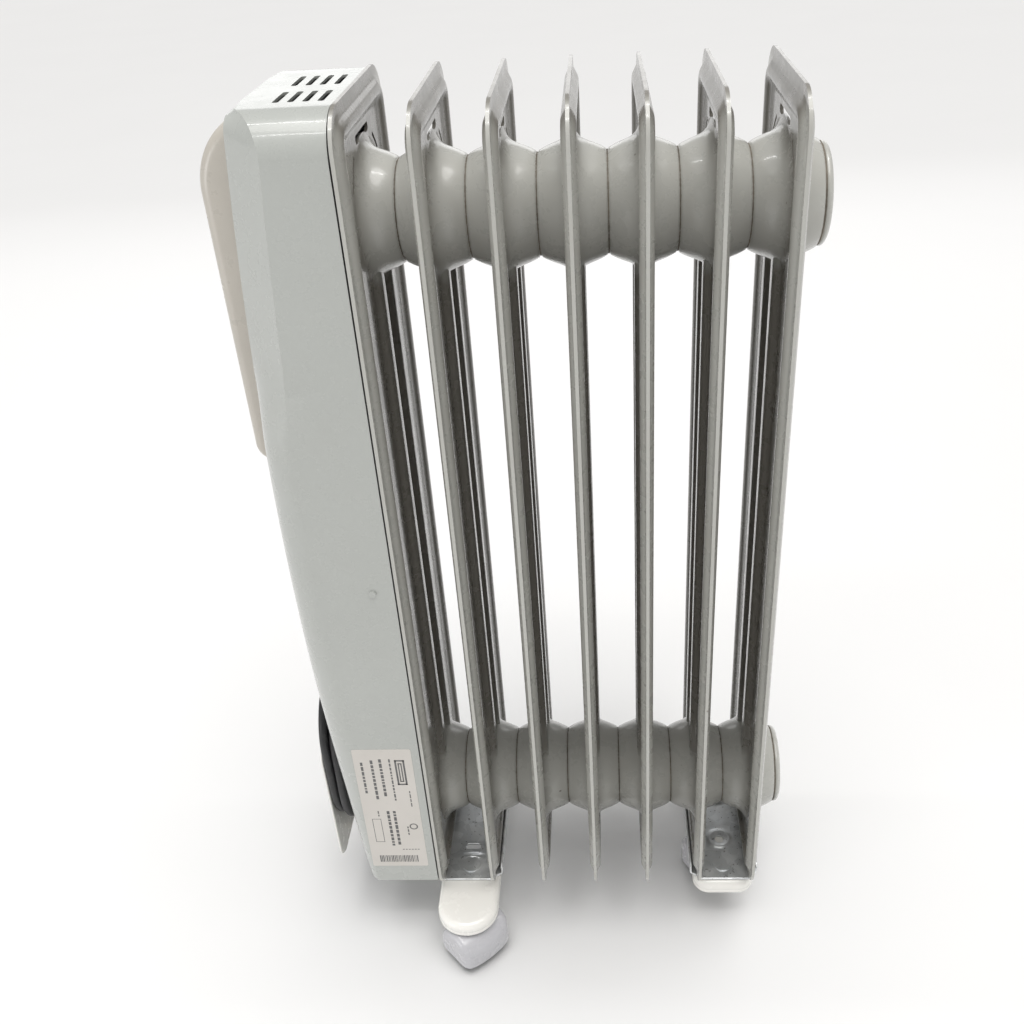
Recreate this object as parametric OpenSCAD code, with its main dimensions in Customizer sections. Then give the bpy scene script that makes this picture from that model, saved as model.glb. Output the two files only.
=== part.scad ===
// Oil filled radiator heater: seven pressed steel fins on two welded headers, a control
// box at one end, two foot channels and four castors on arms that swing out.
// +X runs along the stack from the control box to the last fin, +Y goes to the far side,
// +Z is up. The origin is on the floor, below the centre of the body.

/* [Fins] */
// Number of fins in the stack
fin_count = 7; // [5:1:9]
// Distance from one fin to the next
fin_pitch = 38.5; // [36:0.5:42]
// Height of a fin
fin_h = 566; // [480:2:600]
// Depth of a fin, from its near edge to its far edge
fin_depth = 146; // [130:1:150]
// Radius of a fin's corners
fin_corner = 22; // [14:1:26]
// Thickness of one pressed sheet
sheet_t = 0.8; // [0.6:0.1:1.2]
// Total thickness across the raised rim of a fin
rim_t = 8; // [6:0.5:10]
// Total thickness across the oil channels
channel_t = 11; // [9:0.5:14]

/* [Headers] */
// Height of the lower header above the fins' lower edge
header_low = 60; // [54:1:80]
// Distance between the two headers
header_gap = 437; // [360:1:470]
// Radius of the header at a fin
collar_r = 34; // [30:0.5:38]
// Radius of the header at the weld between two fins
seam_r = 28.5; // [25:0.5:30]

/* [Control box] */
// Depth of the control box along the stack
box_len = 66; // [54:1:70]
// Width of the control box
box_w = 145; // [130:1:149]
// Radius of the upright front corners of the box
box_corner = 20; // [14:1:30]
// Thickness of the cover
cover_t = 1.6; // [1.2:0.1:2.4]
// Radius of the bend between the top and the sides
box_bend = 24; // [16:1:26]

/* [Handle and controls] */
// How far the handle stands in front of the box
handle_reach = 13; // [12:1:24]
// Half of the handle's width
handle_half_w = 35; // [32:1:38]
// Diameter of the thermostat knob
knob_d = 40; // [34:1:44]
// Turn of the thermostat knob, in degrees
knob_turn = 270; // [180:10:300]

/* [Feet] */
// Height of the fins' lower edge above the floor
base_z = 49; // [48:1:60]
// Width of a castor arm
arm_w = 45; // [38:1:46]
// Distance from an arm's pivot to its rounded end
arm_len = 55; // [50:1:58]
// Distance from an arm's pivot to the castor's stem
stem_offset = 34; // [30:1:36]
// Radius of a castor wheel
wheel_r = 15.5; // [14:0.5:16]
// Distance from a castor's stem to its axle, seen from above
castor_trail = 8; // [6:1:9]

/* [Cord] */
// Diameter of the mains cord
cord_d = 6.8; // [6:0.2:8]

/* [Hidden] */
$fn = 64;
eps = 0.01;
fit_gap = 0.05;                                  // radial clearance of a running fit
part_gap = 0.3;                                  // clearance between pieces that only pass each other

// Places along X
mid_fin = (fin_count + 1) / 2;
stack_half = (fin_count - 1) / 2 * fin_pitch;
cap_reach = fin_pitch / 2 + 4.5;                 // end cap, beyond the last fin's plane
box_back_gap = rim_t / 2 + 0.6;                  // box edge, before the first fin's plane
front_reach = stack_half + box_back_gap + box_len + handle_reach;
stack_x = (front_reach - stack_half - cap_reach) / 2;
function fin_x(i) = stack_x + (i - mid_fin) * fin_pitch;
box_back = fin_x(1) - box_back_gap;
box_front = box_back - box_len;
handle_front = box_front - handle_reach;

// Heights
low_z = base_z + header_low;
high_z = low_z + header_gap;
top_z = base_z + fin_h;
box_z0 = base_z + 13;
box_h = top_z - 1 - box_z0;
box_top = box_z0 + box_h;
screw_x = box_back - 11;                         // cover screws, one on each side
screw_z = base_z + 281;

// The front of the box is a shallow arc, foremost at bow_z
bow_r = 2600;
bow_z = box_z0 + box_h * 0.513;

// Header barrel: an arc through collar_r at the fin and seam_r at the weld
half_pitch = fin_pitch / 2;
arc_drop = collar_r - seam_r;
arc_r = (half_pitch * half_pitch + arc_drop * arc_drop) / (2 * arc_drop);
arc_centre = collar_r - arc_r;
barrel_wall = sheet_t * 1.5;
seam_in_r = sqrt((arc_r - barrel_wall) * (arc_r - barrel_wall) - half_pitch * half_pitch) + arc_centre;

// Feet
web_t = 1.5;
web_top = base_z;
arm_top = base_z - web_t - part_gap;
arm_t = 11;
arm_bottom = arm_top - arm_t;
upstand_h = 12;
pivot_y = 46;
tail_len = 17;                                   // arm behind its pivot
pivot_r = 5;
stem_r = 4;
hood_top = arm_bottom - 0.8;
hood_r = 19;
hood_w = 43;
hood_wall = 2;
hood_plan_r = 39;                                // the front of the hood, seen from above
axle_r = 2.5;
wheel_w = 23;
axle_back = castor_trail - 0.7;                  // the axle sits just ahead of the hood's middle

// Bezel and controls
handle_low = base_z + 354;
handle_top = base_z + 563;
crown_r = 44;
crown_x = handle_front + crown_r;
crown_slope = 24;
bezel_wall = 3;
panel_x = box_front + 8;                         // face that carries the controls
tray_half_w = 32;
tray_low = handle_low + 6;
tray_high = base_z + 538;
grip_z = base_z + 482;                           // lower edge of the grip
knob_z = base_z + 422;
switch_z = base_z + 380;
lamp_z = base_z + 456;
shaft_r = 3;
knob_t = 13;
switch_half_gap = 12;
rocker_pin_r = 1.2;
rocker_tilt = 9;                                 // a rocker rests at this tilt and swings to the other

// Cord winding on the front of the box
turn_r = 29;                                   // bend radius of the innermost turn
turn_step = 7;
turn_straight = 42;
turns_deep = 3;
coil_x = box_front + 3.2;                        // face of the winding next to the box
coil_t = 2 * turn_step;
coil_z = base_z + 93;
coil_out_r = turn_r + (turns_deep - 1) * turn_step + cord_d / 2 + 0.3;
coil_in_r = turn_r - cord_d / 2 - 0.3;
layer_a_x = coil_x - turn_step / 2;
layer_b_x = coil_x - turn_step * 3 / 2;
run_y = turn_r + (turns_deep - 1) * turn_step;   // outer run of the winding, on the far side
lead_r = 28.5;                                    // bend of the lead below the box
gland_x = layer_b_x + 2 * lead_r;
gland_len = 20;
lead_z = box_z0 - gland_len - 2;
tail_r = 28.5;                                    // bend of the tail down to the plug
tail_y = tail_r + 2;
tail_z = coil_z - turn_straight / 2 - run_y;
plug_top = tail_z - tail_r - 3;
// Route of the lead: down out of the gland, forward under the box and up into the winding
lead_route = concat(
    [[gland_x, run_y, box_z0 + 2], [gland_x, run_y, lead_z + 6]],
    [for (a = [0:15:180]) [gland_x - lead_r + lead_r * cos(a), run_y, lead_z - lead_r * sin(a)]],
    [[layer_b_x, run_y, lead_z + 25], [layer_b_x, run_y, coil_z - turn_straight / 2 - 10]]);
// Route of the tail: out of the bottom of the winding, then down to the plug
tail_route = concat(
    [[layer_a_x, tail_y - tail_r - 8, tail_z]],
    [for (a = [90:-15:0]) [layer_a_x, tail_y - tail_r + tail_r * cos(a), tail_z - tail_r + tail_r * sin(a)]],
    [[layer_a_x, tail_y, plug_top]]);

// The four corners: name, side of the stack, end of the foot, turn of the arm and of the castor.
// The near right arm is swung in under its channel and the other three are out.
CORNERS = [["near_left", -1, -1, 0, 44], ["near_right", 1, -1, 180, -150],
    ["far_left", -1, 1, 180, 136], ["far_right", 1, 1, 180, -73]];
function foot_x(side) = stack_x + side * (stack_half - half_pitch);
function pivot(c) = [foot_x(c[1]), c[2] * pivot_y];
function stem_at(c) = pivot(c) + stem_offset * [sin(c[3]), -cos(c[3])];

// ---- Shapes shared by several sub-parts ----

// Rectangle with round corners, centred on the origin
module rounded_rect(w, h, r) {
    square([w - 2 * r, h], center = true);
    square([w, h - 2 * r], center = true);
    for (sx = [-1, 1], sy = [-1, 1])
        translate([sx * (w / 2 - r), sy * (h / 2 - r)]) circle(r);
}

// Upright slot with round ends, centred on the origin
module slot_shape(straight, r) {
    square([2 * r, straight], center = true);
    for (s = [-1, 1]) translate([0, s * straight / 2]) circle(r);
}

// Extrudes a shape drawn in Y and Z along X, from x0 to x1
module along_x(x0, x1) {
    translate([min(x0, x1), 0, 0]) rotate([90, 0, 90]) linear_extrude(abs(x1 - x0)) children();
}

// Extrudes a shape drawn in X and Z along Y, from y0 to y1
module along_y(y0, y1) {
    translate([0, max(y0, y1), 0]) rotate([90, 0, 0]) linear_extrude(abs(y1 - y0)) children();
}

// Cylinder along X, from x0 to x1
module rod_x(x0, x1, r, y, z) {
    translate([min(x0, x1), y, z]) rotate([0, 90, 0]) cylinder(h = abs(x1 - x0), r = r);
}

// Tube of radius r swept through points, with flat ends
function unit(v) = v / norm(v);
function tangent(p, i) = i == 0 ? unit(p[1] - p[0])
    : i == len(p) - 1 ? unit(p[i] - p[i - 1]) : unit(unit(p[i + 1] - p[i]) + unit(p[i] - p[i - 1]));
function side_axis(t, n) = unit(n - (n * t) * t);
function frames(p, n, i = 0, out = []) = i == len(p) ? out
    : let (s = side_axis(tangent(p, i), n)) frames(p, s, i + 1, concat(out, [s]));
module swept_tube(points, r, sides, first_side) {
    n = len(points);
    sides_dir = frames(points, first_side);
    rings = [for (i = [0:n - 1], k = [0:sides - 1])
        let (t = tangent(points, i), s = sides_dir[i], u = cross(t, s), a = 360 * k / sides)
            points[i] + r * (cos(a) * s + sin(a) * u)];
    wall = [for (i = [0:n - 2], k = [0:sides - 1])
        let (m = (k + 1) % sides)
            [i * sides + k, (i + 1) * sides + k, (i + 1) * sides + m, i * sides + m]];
    near_end = [[for (k = [0:sides - 1]) k]];
    far_end = [[for (k = [sides - 1:-1:0]) (n - 1) * sides + k]];
    polyhedron(points = rings, faces = concat(near_end, wall, far_end));
}

// ---- Fins and headers ----

module fin_outline(inset) {
    translate([0, base_z + fin_h / 2])
        rounded_rect(fin_depth - 2 * inset, fin_h - 2 * inset, fin_corner - inset);
}

module rim_ring(inset_out, inset_in) {
    difference() {
        fin_outline(inset_out);
        fin_outline(inset_in);
    }
}

// Two upright oil channels that join the headers
module oil_channels(shrink) {
    for (s = [-1, 1])
        translate([s * 15, (low_z + high_z) / 2]) slot_shape(header_gap, 8.5 - shrink);
}

// Slots near the top of a fin that keep its rim cooler
module cooling_slots() {
    translate([0, top_z - 26]) rotate(90) slot_shape(32, 2.4);
    for (s = [-1, 1]) translate([s * 30, top_z - 42]) slot_shape(18, 1.4);
}

// Solid of revolution of the header barrel, from x0 to x1 either side of a fin's plane
module barrel(x, shrink, x0, x1, z) {
    translate([x, 0, z]) rotate([0, 90, 0]) rotate_extrude()
        intersection() {
            translate([arc_centre, 0]) circle(arc_r - shrink, $fn = 128);
            translate([0, x0]) square([collar_r + 1, x1 - x0]);
        }
}

module fin(i) {
    x = fin_x(i);
    color("#dcdcd6") difference() {
        union() {
            along_x(x - sheet_t, x + sheet_t) fin_outline(0);
            along_x(x - rim_t * 0.36, x + rim_t * 0.36) rim_ring(5, 21);
            along_x(x - rim_t / 2, x + rim_t / 2) rim_ring(8, 17);
            along_x(x - channel_t / 2, x + channel_t / 2) oil_channels(0);
            for (z = [low_z, high_z]) barrel(x, 0, -half_pitch, half_pitch, z);
        }
        along_x(x - rim_t / 2 + sheet_t, x + rim_t / 2 - sheet_t)
            rim_ring(8 + sheet_t, 17 - sheet_t);
        along_x(x - channel_t / 2 + sheet_t, x + channel_t / 2 - sheet_t) oil_channels(sheet_t);
        for (z = [low_z, high_z])
            barrel(x, barrel_wall, -half_pitch - eps, half_pitch + eps, z);
        along_x(x - channel_t, x + channel_t) cooling_slots();
    }
}

// Closed cap welded on the open end of a header
module end_cap(side, x, z) {
    color("#d8d8d0") translate([x, 0, z]) rotate([0, side * 90, 0]) {
        rotate_extrude() difference() {
            intersection() {
                translate([seam_r - 4.5, 0]) circle(4.5);
                square([seam_r, 4.5]);
            }
            square([seam_r - 4.5, 4.5]);
        }
        cylinder(h = 4.5, r = seam_r - 4.5);
        translate([0, 0, -3]) cylinder(h = 3, r = seam_in_r - fit_gap);
    }
}

module element_flange() {
    x = fin_x(1) - half_pitch;
    color("#b0b0aa") difference() {
        rod_x(x - 5, x, seam_r, 0, low_z);
        for (s = [-1, 1]) {
            rod_x(x - 6, x + 1, 4.3, s * 9, low_z);
            rod_x(x - 6, x + 1, 2.1, 0, low_z + s * 20);
        }
    }
}

module element_gasket() {
    x = fin_x(1) - half_pitch;
    color("#3a3a3a") difference() {
        rod_x(x, x + 1.5, seam_in_r - fit_gap, 0, low_z);
        rod_x(x - 1, x + 3, 16, 0, low_z);
    }
}

// Two round elements joined in a U inside the lower header
module heating_element() {
    x0 = fin_x(1) - half_pitch - 14;
    x1 = fin_x(fin_count) - 30;
    color("#8c8480") {
        for (s = [-1, 1]) rod_x(x0, x1, 4.25, s * 9, low_z);
        translate([x1, 0, low_z]) rotate([0, 0, -90]) rotate_extrude(angle = 180)
            translate([9, 0]) circle(4.25);
    }
}

module element_bolts() {
    x = fin_x(1) - half_pitch - 5;
    color("#a8a8a4") for (s = [-1, 1]) {
        rod_x(x, x + 5, 2, 0, low_z + s * 20);
        rod_x(x - 3, x, 3.6, 0, low_z + s * 20);
    }
}

// ---- Control box ----

// The box seen from above: square at the back, round corners in front
module box_plan(inset) {
    w = box_w - 2 * inset;
    r = box_corner - inset;
    front = box_front + inset;
    translate([front + r, -w / 2]) square([box_back - front - r, w]);
    translate([front, -w / 2 + r]) square([box_back - front, w - 2 * r]);
    for (s = [-1, 1]) translate([front + r, s * (w / 2 - r)]) circle(r);
}

// The box seen along the stack: the top bends round, the bottom corners are tight
module box_face(inset) {
    w = box_w - 2 * inset;
    h = box_h - 2 * inset;
    r = box_bend - inset;
    translate([-w / 2, box_z0 + inset]) square([w, h - r]);
    translate([-w / 2 + r, box_z0 + inset]) square([w - 2 * r, h]);
    for (s = [-1, 1]) translate([s * (w / 2 - r), box_z0 + inset + h - r]) circle(r);
}

// The box seen from its near side: the front bows out between the handle and the foot
module box_side(inset) {
    intersection() {
        translate([box_front + inset, box_z0 + inset])
            square([box_len - inset + 1, box_h - 2 * inset]);
        translate([box_front + bow_r, bow_z]) circle(bow_r - inset, $fn = 360);
    }
}

module box_solid(inset, back) {
    intersection() {
        translate([0, 0, box_z0 - 1]) linear_extrude(box_h + 2) box_plan(inset);
        along_x(box_front - 1, back) box_face(inset);
        along_y(-box_w, box_w) box_side(inset);
    }
}

module vent_slots() {
    for (k = [0:3], row = [-1, 1])
        translate([box_back - 5.2 - k * 7.85, row * 21 - 4, box_top - 5]) linear_extrude(10)
            slot_shape(23, 1.7);
}

module cover() {
    color("#dedfdb") difference() {
        box_solid(0, box_back);
        box_solid(cover_t, box_back + 1);
        vent_slots();
        // opening that the bezel's recess passes through
        along_x(box_front - 2, box_front + 30) tray_shape(0);
        // holes for the cover screws and the gland
        for (y = [-1, 1])
            translate([screw_x, y * (box_w / 2 + 2), screw_z]) rotate([90 * y, 0, 0])
                cylinder(h = 8, r = 1.6);
        translate([gland_x, run_y, box_z0 - 1]) cylinder(h = 5, r = 7);
    }
}

module inner_plate() {
    w = box_w - 2 * cover_t;
    color("#b9bbba") {
        difference() {
            along_x(box_back - 2.4, box_back - 1.2) translate([0, box_z0 + box_h / 2])
                rounded_rect(w, box_h - 2 * cover_t, box_bend - cover_t);
            for (z = [low_z, high_z]) rod_x(box_back - 4, box_back + 2, collar_r + 1.5, 0, z);
            for (y = [-1, 1], z = [box_z0 + 130:70:box_top - 130])
                along_x(box_back - 4, box_back + 2) translate([y * 36, z]) slot_shape(34, 3);
            plate_stud_places() cylinder(h = 20, r = 2.2, center = true);
        }
        for (y = [-1, 1])
            translate([box_back - 10, y * (w / 2 - 0.6), screw_z]) difference() {
                cube([16 - eps, 1.2, 14], center = true);
                translate([screw_x - box_back + 10, 0, 0]) rotate([90, 0, 0]) cylinder(h = 4, r = 1.4, center = true);
            }
    }
}

module plate_stud_places() {
    for (y = [-1, 1], z = [box_z0 + 165, box_z0 + 375])
        translate([box_back, y * 31, z]) rotate([0, 90, 0]) children();
}

// Studs welded on the first fin, with a spacer and a nut, that carry the plate
module plate_studs() {
    reach = fin_x(1) - sheet_t - box_back;
    color("#a8a8a4") plate_stud_places() {
        translate([0, 0, -8]) cylinder(h = 8 + reach, r = 2);
        translate([0, 0, -1.2]) cylinder(h = 1.2 + reach, r = 4);
        translate([0, 0, -6]) cylinder(h = 3.6, r = 4);
    }
}

module cover_screws() {
    color("#c2c2c0") for (y = [-1, 1])
        translate([screw_x, y * box_w / 2, screw_z]) rotate([-90 * y, 0, 0]) {
            cylinder(h = 1.2, r = 2.2);
            translate([0, 0, -6]) cylinder(h = 6, r = 1.35);
        }
}

// ---- Handle, bezel and controls ----

// The handle seen from its near side, drawn in X and Z: a sloping crown and a rounded foot
module handle_side(inset) {
    cz = handle_top - (box_front + 22 - crown_x) * tan(crown_slope) - crown_r / cos(crown_slope);
    r = crown_r - inset;
    foot_r = 12 - inset;
    back = box_front + 30;
    back_z = handle_top + 8 * tan(crown_slope) - inset / cos(crown_slope);
    polygon([[handle_front + inset, handle_low + 12], [handle_front + 12, handle_low + inset],
        [back, handle_low + inset], [back, back_z],
        [crown_x - r * sin(crown_slope), cz + r * cos(crown_slope)], [handle_front + inset, cz]]);
    intersection() {
        translate([crown_x, cz]) circle(r);
        translate([handle_front, cz - 1]) square([back - handle_front, crown_r + 2]);
    }
    translate([handle_front + 12, handle_low + 12]) circle(foot_r);
}

// Recess of the bezel that carries the controls, drawn in Y and Z
module tray_shape(grow) {
    translate([0, (tray_low + tray_high) / 2])
        rounded_rect(2 * (tray_half_w + grow), tray_high - tray_low + 2 * grow, 8 + grow);
}

module front_bezel() {
    color("#e9e2d6") difference() {
        union() {
            difference() {
                along_y(-handle_half_w, handle_half_w) handle_side(0);
                box_solid(0, box_back);
            }
            along_x(box_front + cover_t, panel_x + bezel_wall) tray_shape(0);
            along_x(handle_front + 2, box_front + 10) tray_shape(0);
        }
        // hollow under the grip and between the cheeks, open to the front
        along_x(handle_front - 1, panel_x) intersection() {
            tray_shape(-bezel_wall);
            translate([-60, tray_low]) square([120, grip_z - tray_low]);
        }
        intersection() {
            along_y(-tray_half_w + bezel_wall, tray_half_w - bezel_wall) handle_side(bezel_wall);
            along_x(handle_front - 1, panel_x) tray_shape(-bezel_wall);
        }
        // holes in the panel for the shaft, the switches and the lamp
        rod_x(panel_x - 1, panel_x + 4, shaft_r + 1, 0, knob_z);
        for (s = [-1, 1]) translate([panel_x - 1, s * switch_half_gap - 9, switch_z - 11])
            cube([8, 18, 22]);
        rod_x(panel_x - 1, panel_x + 4, 3.2, 0, lamp_z);
    }
}

module thermostat_body() {
    x0 = panel_x + 8;
    color("#3c3a38") difference() {
        union() {
            translate([x0, -16, knob_z - 16]) cube([20, 32, 32]);
            rod_x(panel_x + 3, x0 + 1, 6, 0, knob_z);
        }
        rod_x(panel_x, x0 + 12, shaft_r + fit_gap, 0, knob_z);
    }
}

module thermostat_shaft() {
    x0 = panel_x + 19;
    color("#c9c9c6") difference() {
        rod_x(panel_x - knob_t + 3, x0, shaft_r, 0, knob_z);
        translate([panel_x - knob_t + 2, -5, knob_z + 1.8]) cube([knob_t - 4, 10, 5]);
    }
}

module thermostat_knob() {
    x1 = panel_x - 0.6;
    color("#ece6dc") difference() {
        union() {
            rod_x(x1 - knob_t, x1 - 3, knob_d / 2 - 2, 0, knob_z);
            rod_x(x1 - 3, x1, knob_d / 2, 0, knob_z);
            translate([x1 - knob_t - 2, -3, knob_z - knob_d / 2 + 3]) cube([8, 6, knob_d - 6]);
        }
        difference() {
            rod_x(panel_x - knob_t + 3 - eps, x1 + 1, shaft_r, 0, knob_z);
            translate([panel_x - knob_t + 2, -5, knob_z + 1.8]) cube([knob_t - 4, 10, 5]);
        }
    }
}

module switch_housing() {
    color("#2c2c2c") for (s = [-1, 1]) difference() {
        union() {
            translate([panel_x - 0.5, s * switch_half_gap - 8.8, switch_z - 10.8])
                cube([24.5, 17.6, 21.6]);
            translate([panel_x - 1.2, s * switch_half_gap - 10, switch_z - 12.5])
                cube([1.2, 20, 25]);
        }
        translate([panel_x - 2, s * switch_half_gap - 7, switch_z - 10]) cube([14, 14, 20]);
        translate([panel_x + 4, s * switch_half_gap, switch_z]) rotate([90, 0, 0])
            cylinder(h = 20, r = rocker_pin_r + fit_gap, center = true);
    }
}

module rocker(s) {
    x = panel_x + 4;
    color("#1d1d1d") translate([x, s * switch_half_gap, switch_z]) rotate([0, rocker_tilt, 0]) {
        intersection() {
            rotate([90, 0, 0]) cylinder(h = 13, r = 9, center = true);
            translate([-7, -10, -9]) cube([9, 20, 18]);
        }
        rotate([90, 0, 0]) cylinder(h = 16.6, r = rocker_pin_r, center = true);
    }
}

module pilot_lamp() {
    color("#d8763a") {
        rod_x(panel_x - 1.5, panel_x, 4, 0, lamp_z);
        rod_x(panel_x, panel_x + 16, 3, 0, lamp_z);
    }
}

module thermal_cutout() {
    x = fin_x(1) - half_pitch;
    color("#b8a98c") {
        rod_x(x - 9, x - 5, 5, 18, low_z + 8);
        translate([x - 12, 14, low_z + 4]) cube([3, 8, 8]);
    }
}

module terminal_block() {
    color("#e6e2d2") difference() {
        translate([box_back - 14, -18, low_z + 70]) cube([11.6, 36, 18]);
        for (k = [-1:1]) translate([box_back - 15, k * 11 - 3, low_z + 79]) cube([6, 6, 12]);
    }
}

// Insulated wires from the terminal block to the thermostat and to the element
module internal_wires() {
    x = box_back - 16;
    thermostat_x = panel_x + 20;
    color("#8a5a3c") for (k = [-1, 1]) {
        swept_tube([[x + 3, k * 11, low_z + 92], [x, k * 11, low_z + 110], [x - 8, k * 12, low_z + 150],
            [x - 10, k * 12, low_z + 230], [thermostat_x + 10, k * 11, knob_z - 40],
            [thermostat_x + 5, k * 10, knob_z - 17]], 1.6, 8, [0, 1, 0]);
        swept_tube([[x + 6, k * 11, low_z + 69], [x + 4, k * 11, low_z + 55], [x - 4, k * 10, low_z + 30],
            [fin_x(1) - half_pitch - 16, k * 9, low_z + 5]], 1.6, 8, [0, 1, 0]);
    }
}

// ---- Cord and what carries it ----

module cord_hook() {
    plate_x = coil_x - coil_t - 0.1;
    color("#e6e0d2") {
        difference() {
            along_x(box_front + 16, plate_x) translate([0, coil_z]) difference() {
                slot_shape(turn_straight, coil_in_r - 0.4);
                slot_shape(turn_straight, coil_in_r - 3.4);
            }
            box_solid(0, box_back);
        }
        along_x(plate_x - 1.9, plate_x) translate([0, base_z + 59])
            rounded_rect(84, 118, 12);
    }
}

module strain_relief() {
    z = box_z0 + cover_t;
    color("#1b1b1b") translate([gland_x, run_y, 0]) difference() {
        union() {
            translate([0, 0, z]) cylinder(h = 3, r = 9);
            translate([0, 0, box_z0 - 2]) cylinder(h = cover_t + 3, r = 6.9);
            translate([0, 0, box_z0 - 4]) cylinder(h = 4, r = 9);
            translate([0, 0, box_z0 - gland_len]) cylinder(h = gland_len - 3, r1 = 5, r2 = 7.4);
        }
        translate([0, 0, box_z0 - gland_len - 1]) cylinder(h = gland_len + 8, r = cord_d / 2);
    }
}

module cord_lead() {
    color("#161616") swept_tube(lead_route, cord_d / 2, 12, [0, 1, 0]);
}

module cord_winding() {
    color("#161616") along_x(coil_x - coil_t, coil_x) translate([0, coil_z]) difference() {
        slot_shape(turn_straight, coil_out_r);
        slot_shape(turn_straight, coil_in_r);
    }
}

module cord_tail() {
    color("#161616") swept_tube(tail_route, cord_d / 2, 12, [1, 0, 0]);
}

module plug_body() {
    color("#181818") translate([layer_a_x, tail_y, plug_top]) {
        translate([0, 0, -11]) cylinder(h = 11, r1 = 8, r2 = 5.2);
        translate([-12.5, -8.5, -27]) cube([25, 17, 16]);
    }
}

module plug_blades() {
    color("#c8b070") translate([layer_a_x, tail_y, plug_top - 27])
        for (s = [-1, 1]) translate([s * 6.35 - 0.75, -3.2, -12]) cube([1.5, 6.4, 12]);
}

module rating_label() {
    x1 = box_back - 3;
    color("#cfc8c2") translate([x1 - 41, -box_w / 2 - 0.2, box_z0 + 14]) cube([41, 0.2, 118]);
}

// ---- Feet ----

// Pressed channel under two neighbouring fins
module foot_channel(x) {
    half = half_pitch + 6;
    len_y = 120;
    color("#a9acac") difference() {
        union() {
            translate([x - half, -len_y / 2, web_top - web_t]) cube([2 * half, len_y, web_t]);
            for (s = [-1, 1])
                translate([x + s * (half - web_t / 2) - web_t / 2, -len_y / 2, web_top - web_t])
                    cube([web_t, len_y, upstand_h]);
        }
        for (s = [-1, 1]) {
            translate([x, s * 22, web_top - 3]) cylinder(h = 5, r = 3.4);
            translate([x, s * pivot_y, web_top - 3]) cylinder(h = 5, r = pivot_r + fit_gap);
            rod_x(x - half - 1, x + half + 1, 1.8, s * 40, web_top + 6);
        }
    }
}

// Shouldered rivets that the arms turn on
module arm_rivets() {
    color("#8f9190") for (x = [foot_x(-1), foot_x(1)], s = [-1, 1]) translate([x, s * pivot_y, 0]) {
        translate([0, 0, arm_bottom - 0.4]) cylinder(h = web_top - arm_bottom + 0.4, r = pivot_r);
        translate([0, 0, arm_bottom - 0.6]) cylinder(h = 0.4, r = pivot_r + 2.5);
        translate([0, 0, web_top]) cylinder(h = 1, r = pivot_r + 2);
    }
}

// Castor arm, drawn with its pivot at the origin and its round end towards -Y
module arm_shape() {
    end_r = arm_w / 2;
    tail_r = 12;
    difference() {
        union() {
            translate([0, -arm_len + end_r]) circle(end_r);
            translate([-end_r, -arm_len + end_r]) square([arm_w, arm_len - end_r + tail_len - tail_r]);
            translate([-end_r + tail_r, 0]) square([arm_w - 2 * tail_r, tail_len]);
            for (s = [-1, 1]) translate([s * (end_r - tail_r), tail_len - tail_r]) circle(tail_r);
        }
        circle(pivot_r + fit_gap);
    }
}

module arm(x, y, turn) {
    color("#ece7dc") translate([x, y, 0]) rotate(turn) difference() {
        translate([0, 0, arm_bottom]) linear_extrude(arm_t) arm_shape();
        translate([0, -stem_offset, arm_bottom - 1]) cylinder(h = 9, r = stem_r + fit_gap);
        translate([0, 0, arm_bottom - 1]) cylinder(h = 1.4, r = pivot_r + 2.8);
    }
}

// Hood of a castor, drawn with its stem at the origin and the axle behind it at -Y
module hood_body(grow) {
    intersection() {
        translate([0, -castor_trail, wheel_r]) rotate([0, 90, 0])
            cylinder(h = hood_w + 2 * grow, r = hood_r + grow, center = true);
        translate([0, hood_plan_r - castor_trail - hood_r, 0])
            cylinder(h = 60, r = hood_plan_r + grow, $fn = 128);
    }
}

module hood(x, y, turn) {
    color("#b4b4b8") translate([x, y, 0]) rotate(turn) {
        difference() {
            union() {
                hood_body(0);
                cylinder(h = hood_top, r = 8);
            }
            translate([-60, -60, -1]) cube([120, 120, 9]);
            intersection() {
                hood_body(-hood_wall);
                translate([-60, -60, -1]) cube([120, 120, wheel_r * 2 + 2]);
            }
            translate([0, -axle_back, wheel_r]) rotate([0, 90, 0])
                cylinder(h = hood_w + 4, r = axle_r + 0.02, center = true);
            translate([0, 0, hood_top - 5]) cylinder(h = 6, r = stem_r + 0.02);
        }
    }
}

module stem(x, y) {
    color("#b9bab8") translate([x, y, hood_top - 3]) cylinder(h = 11, r = stem_r);
}

module axle(x, y, turn) {
    color("#c4c4c4") translate([x, y, 0]) rotate(turn)
        translate([0, -axle_back, wheel_r]) rotate([0, 90, 0])
            cylinder(h = hood_w - 1, r = axle_r, center = true);
}

module wheel(x, y, turn) {
    color("#3a3a3c") translate([x, y, 0]) rotate(turn)
        translate([0, -axle_back, wheel_r]) rotate([0, 90, 0]) difference() {
            cylinder(h = wheel_w, r = wheel_r, center = true);
            cylinder(h = wheel_w + 2, r = axle_r + fit_gap, center = true);
            for (s = [-1, 1]) translate([0, 0, s * wheel_w / 2]) difference() {
                cylinder(h = 6, r = wheel_r - 4, center = true);
                cylinder(h = 7, r = 5, center = true);
            }
        }
}

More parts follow.
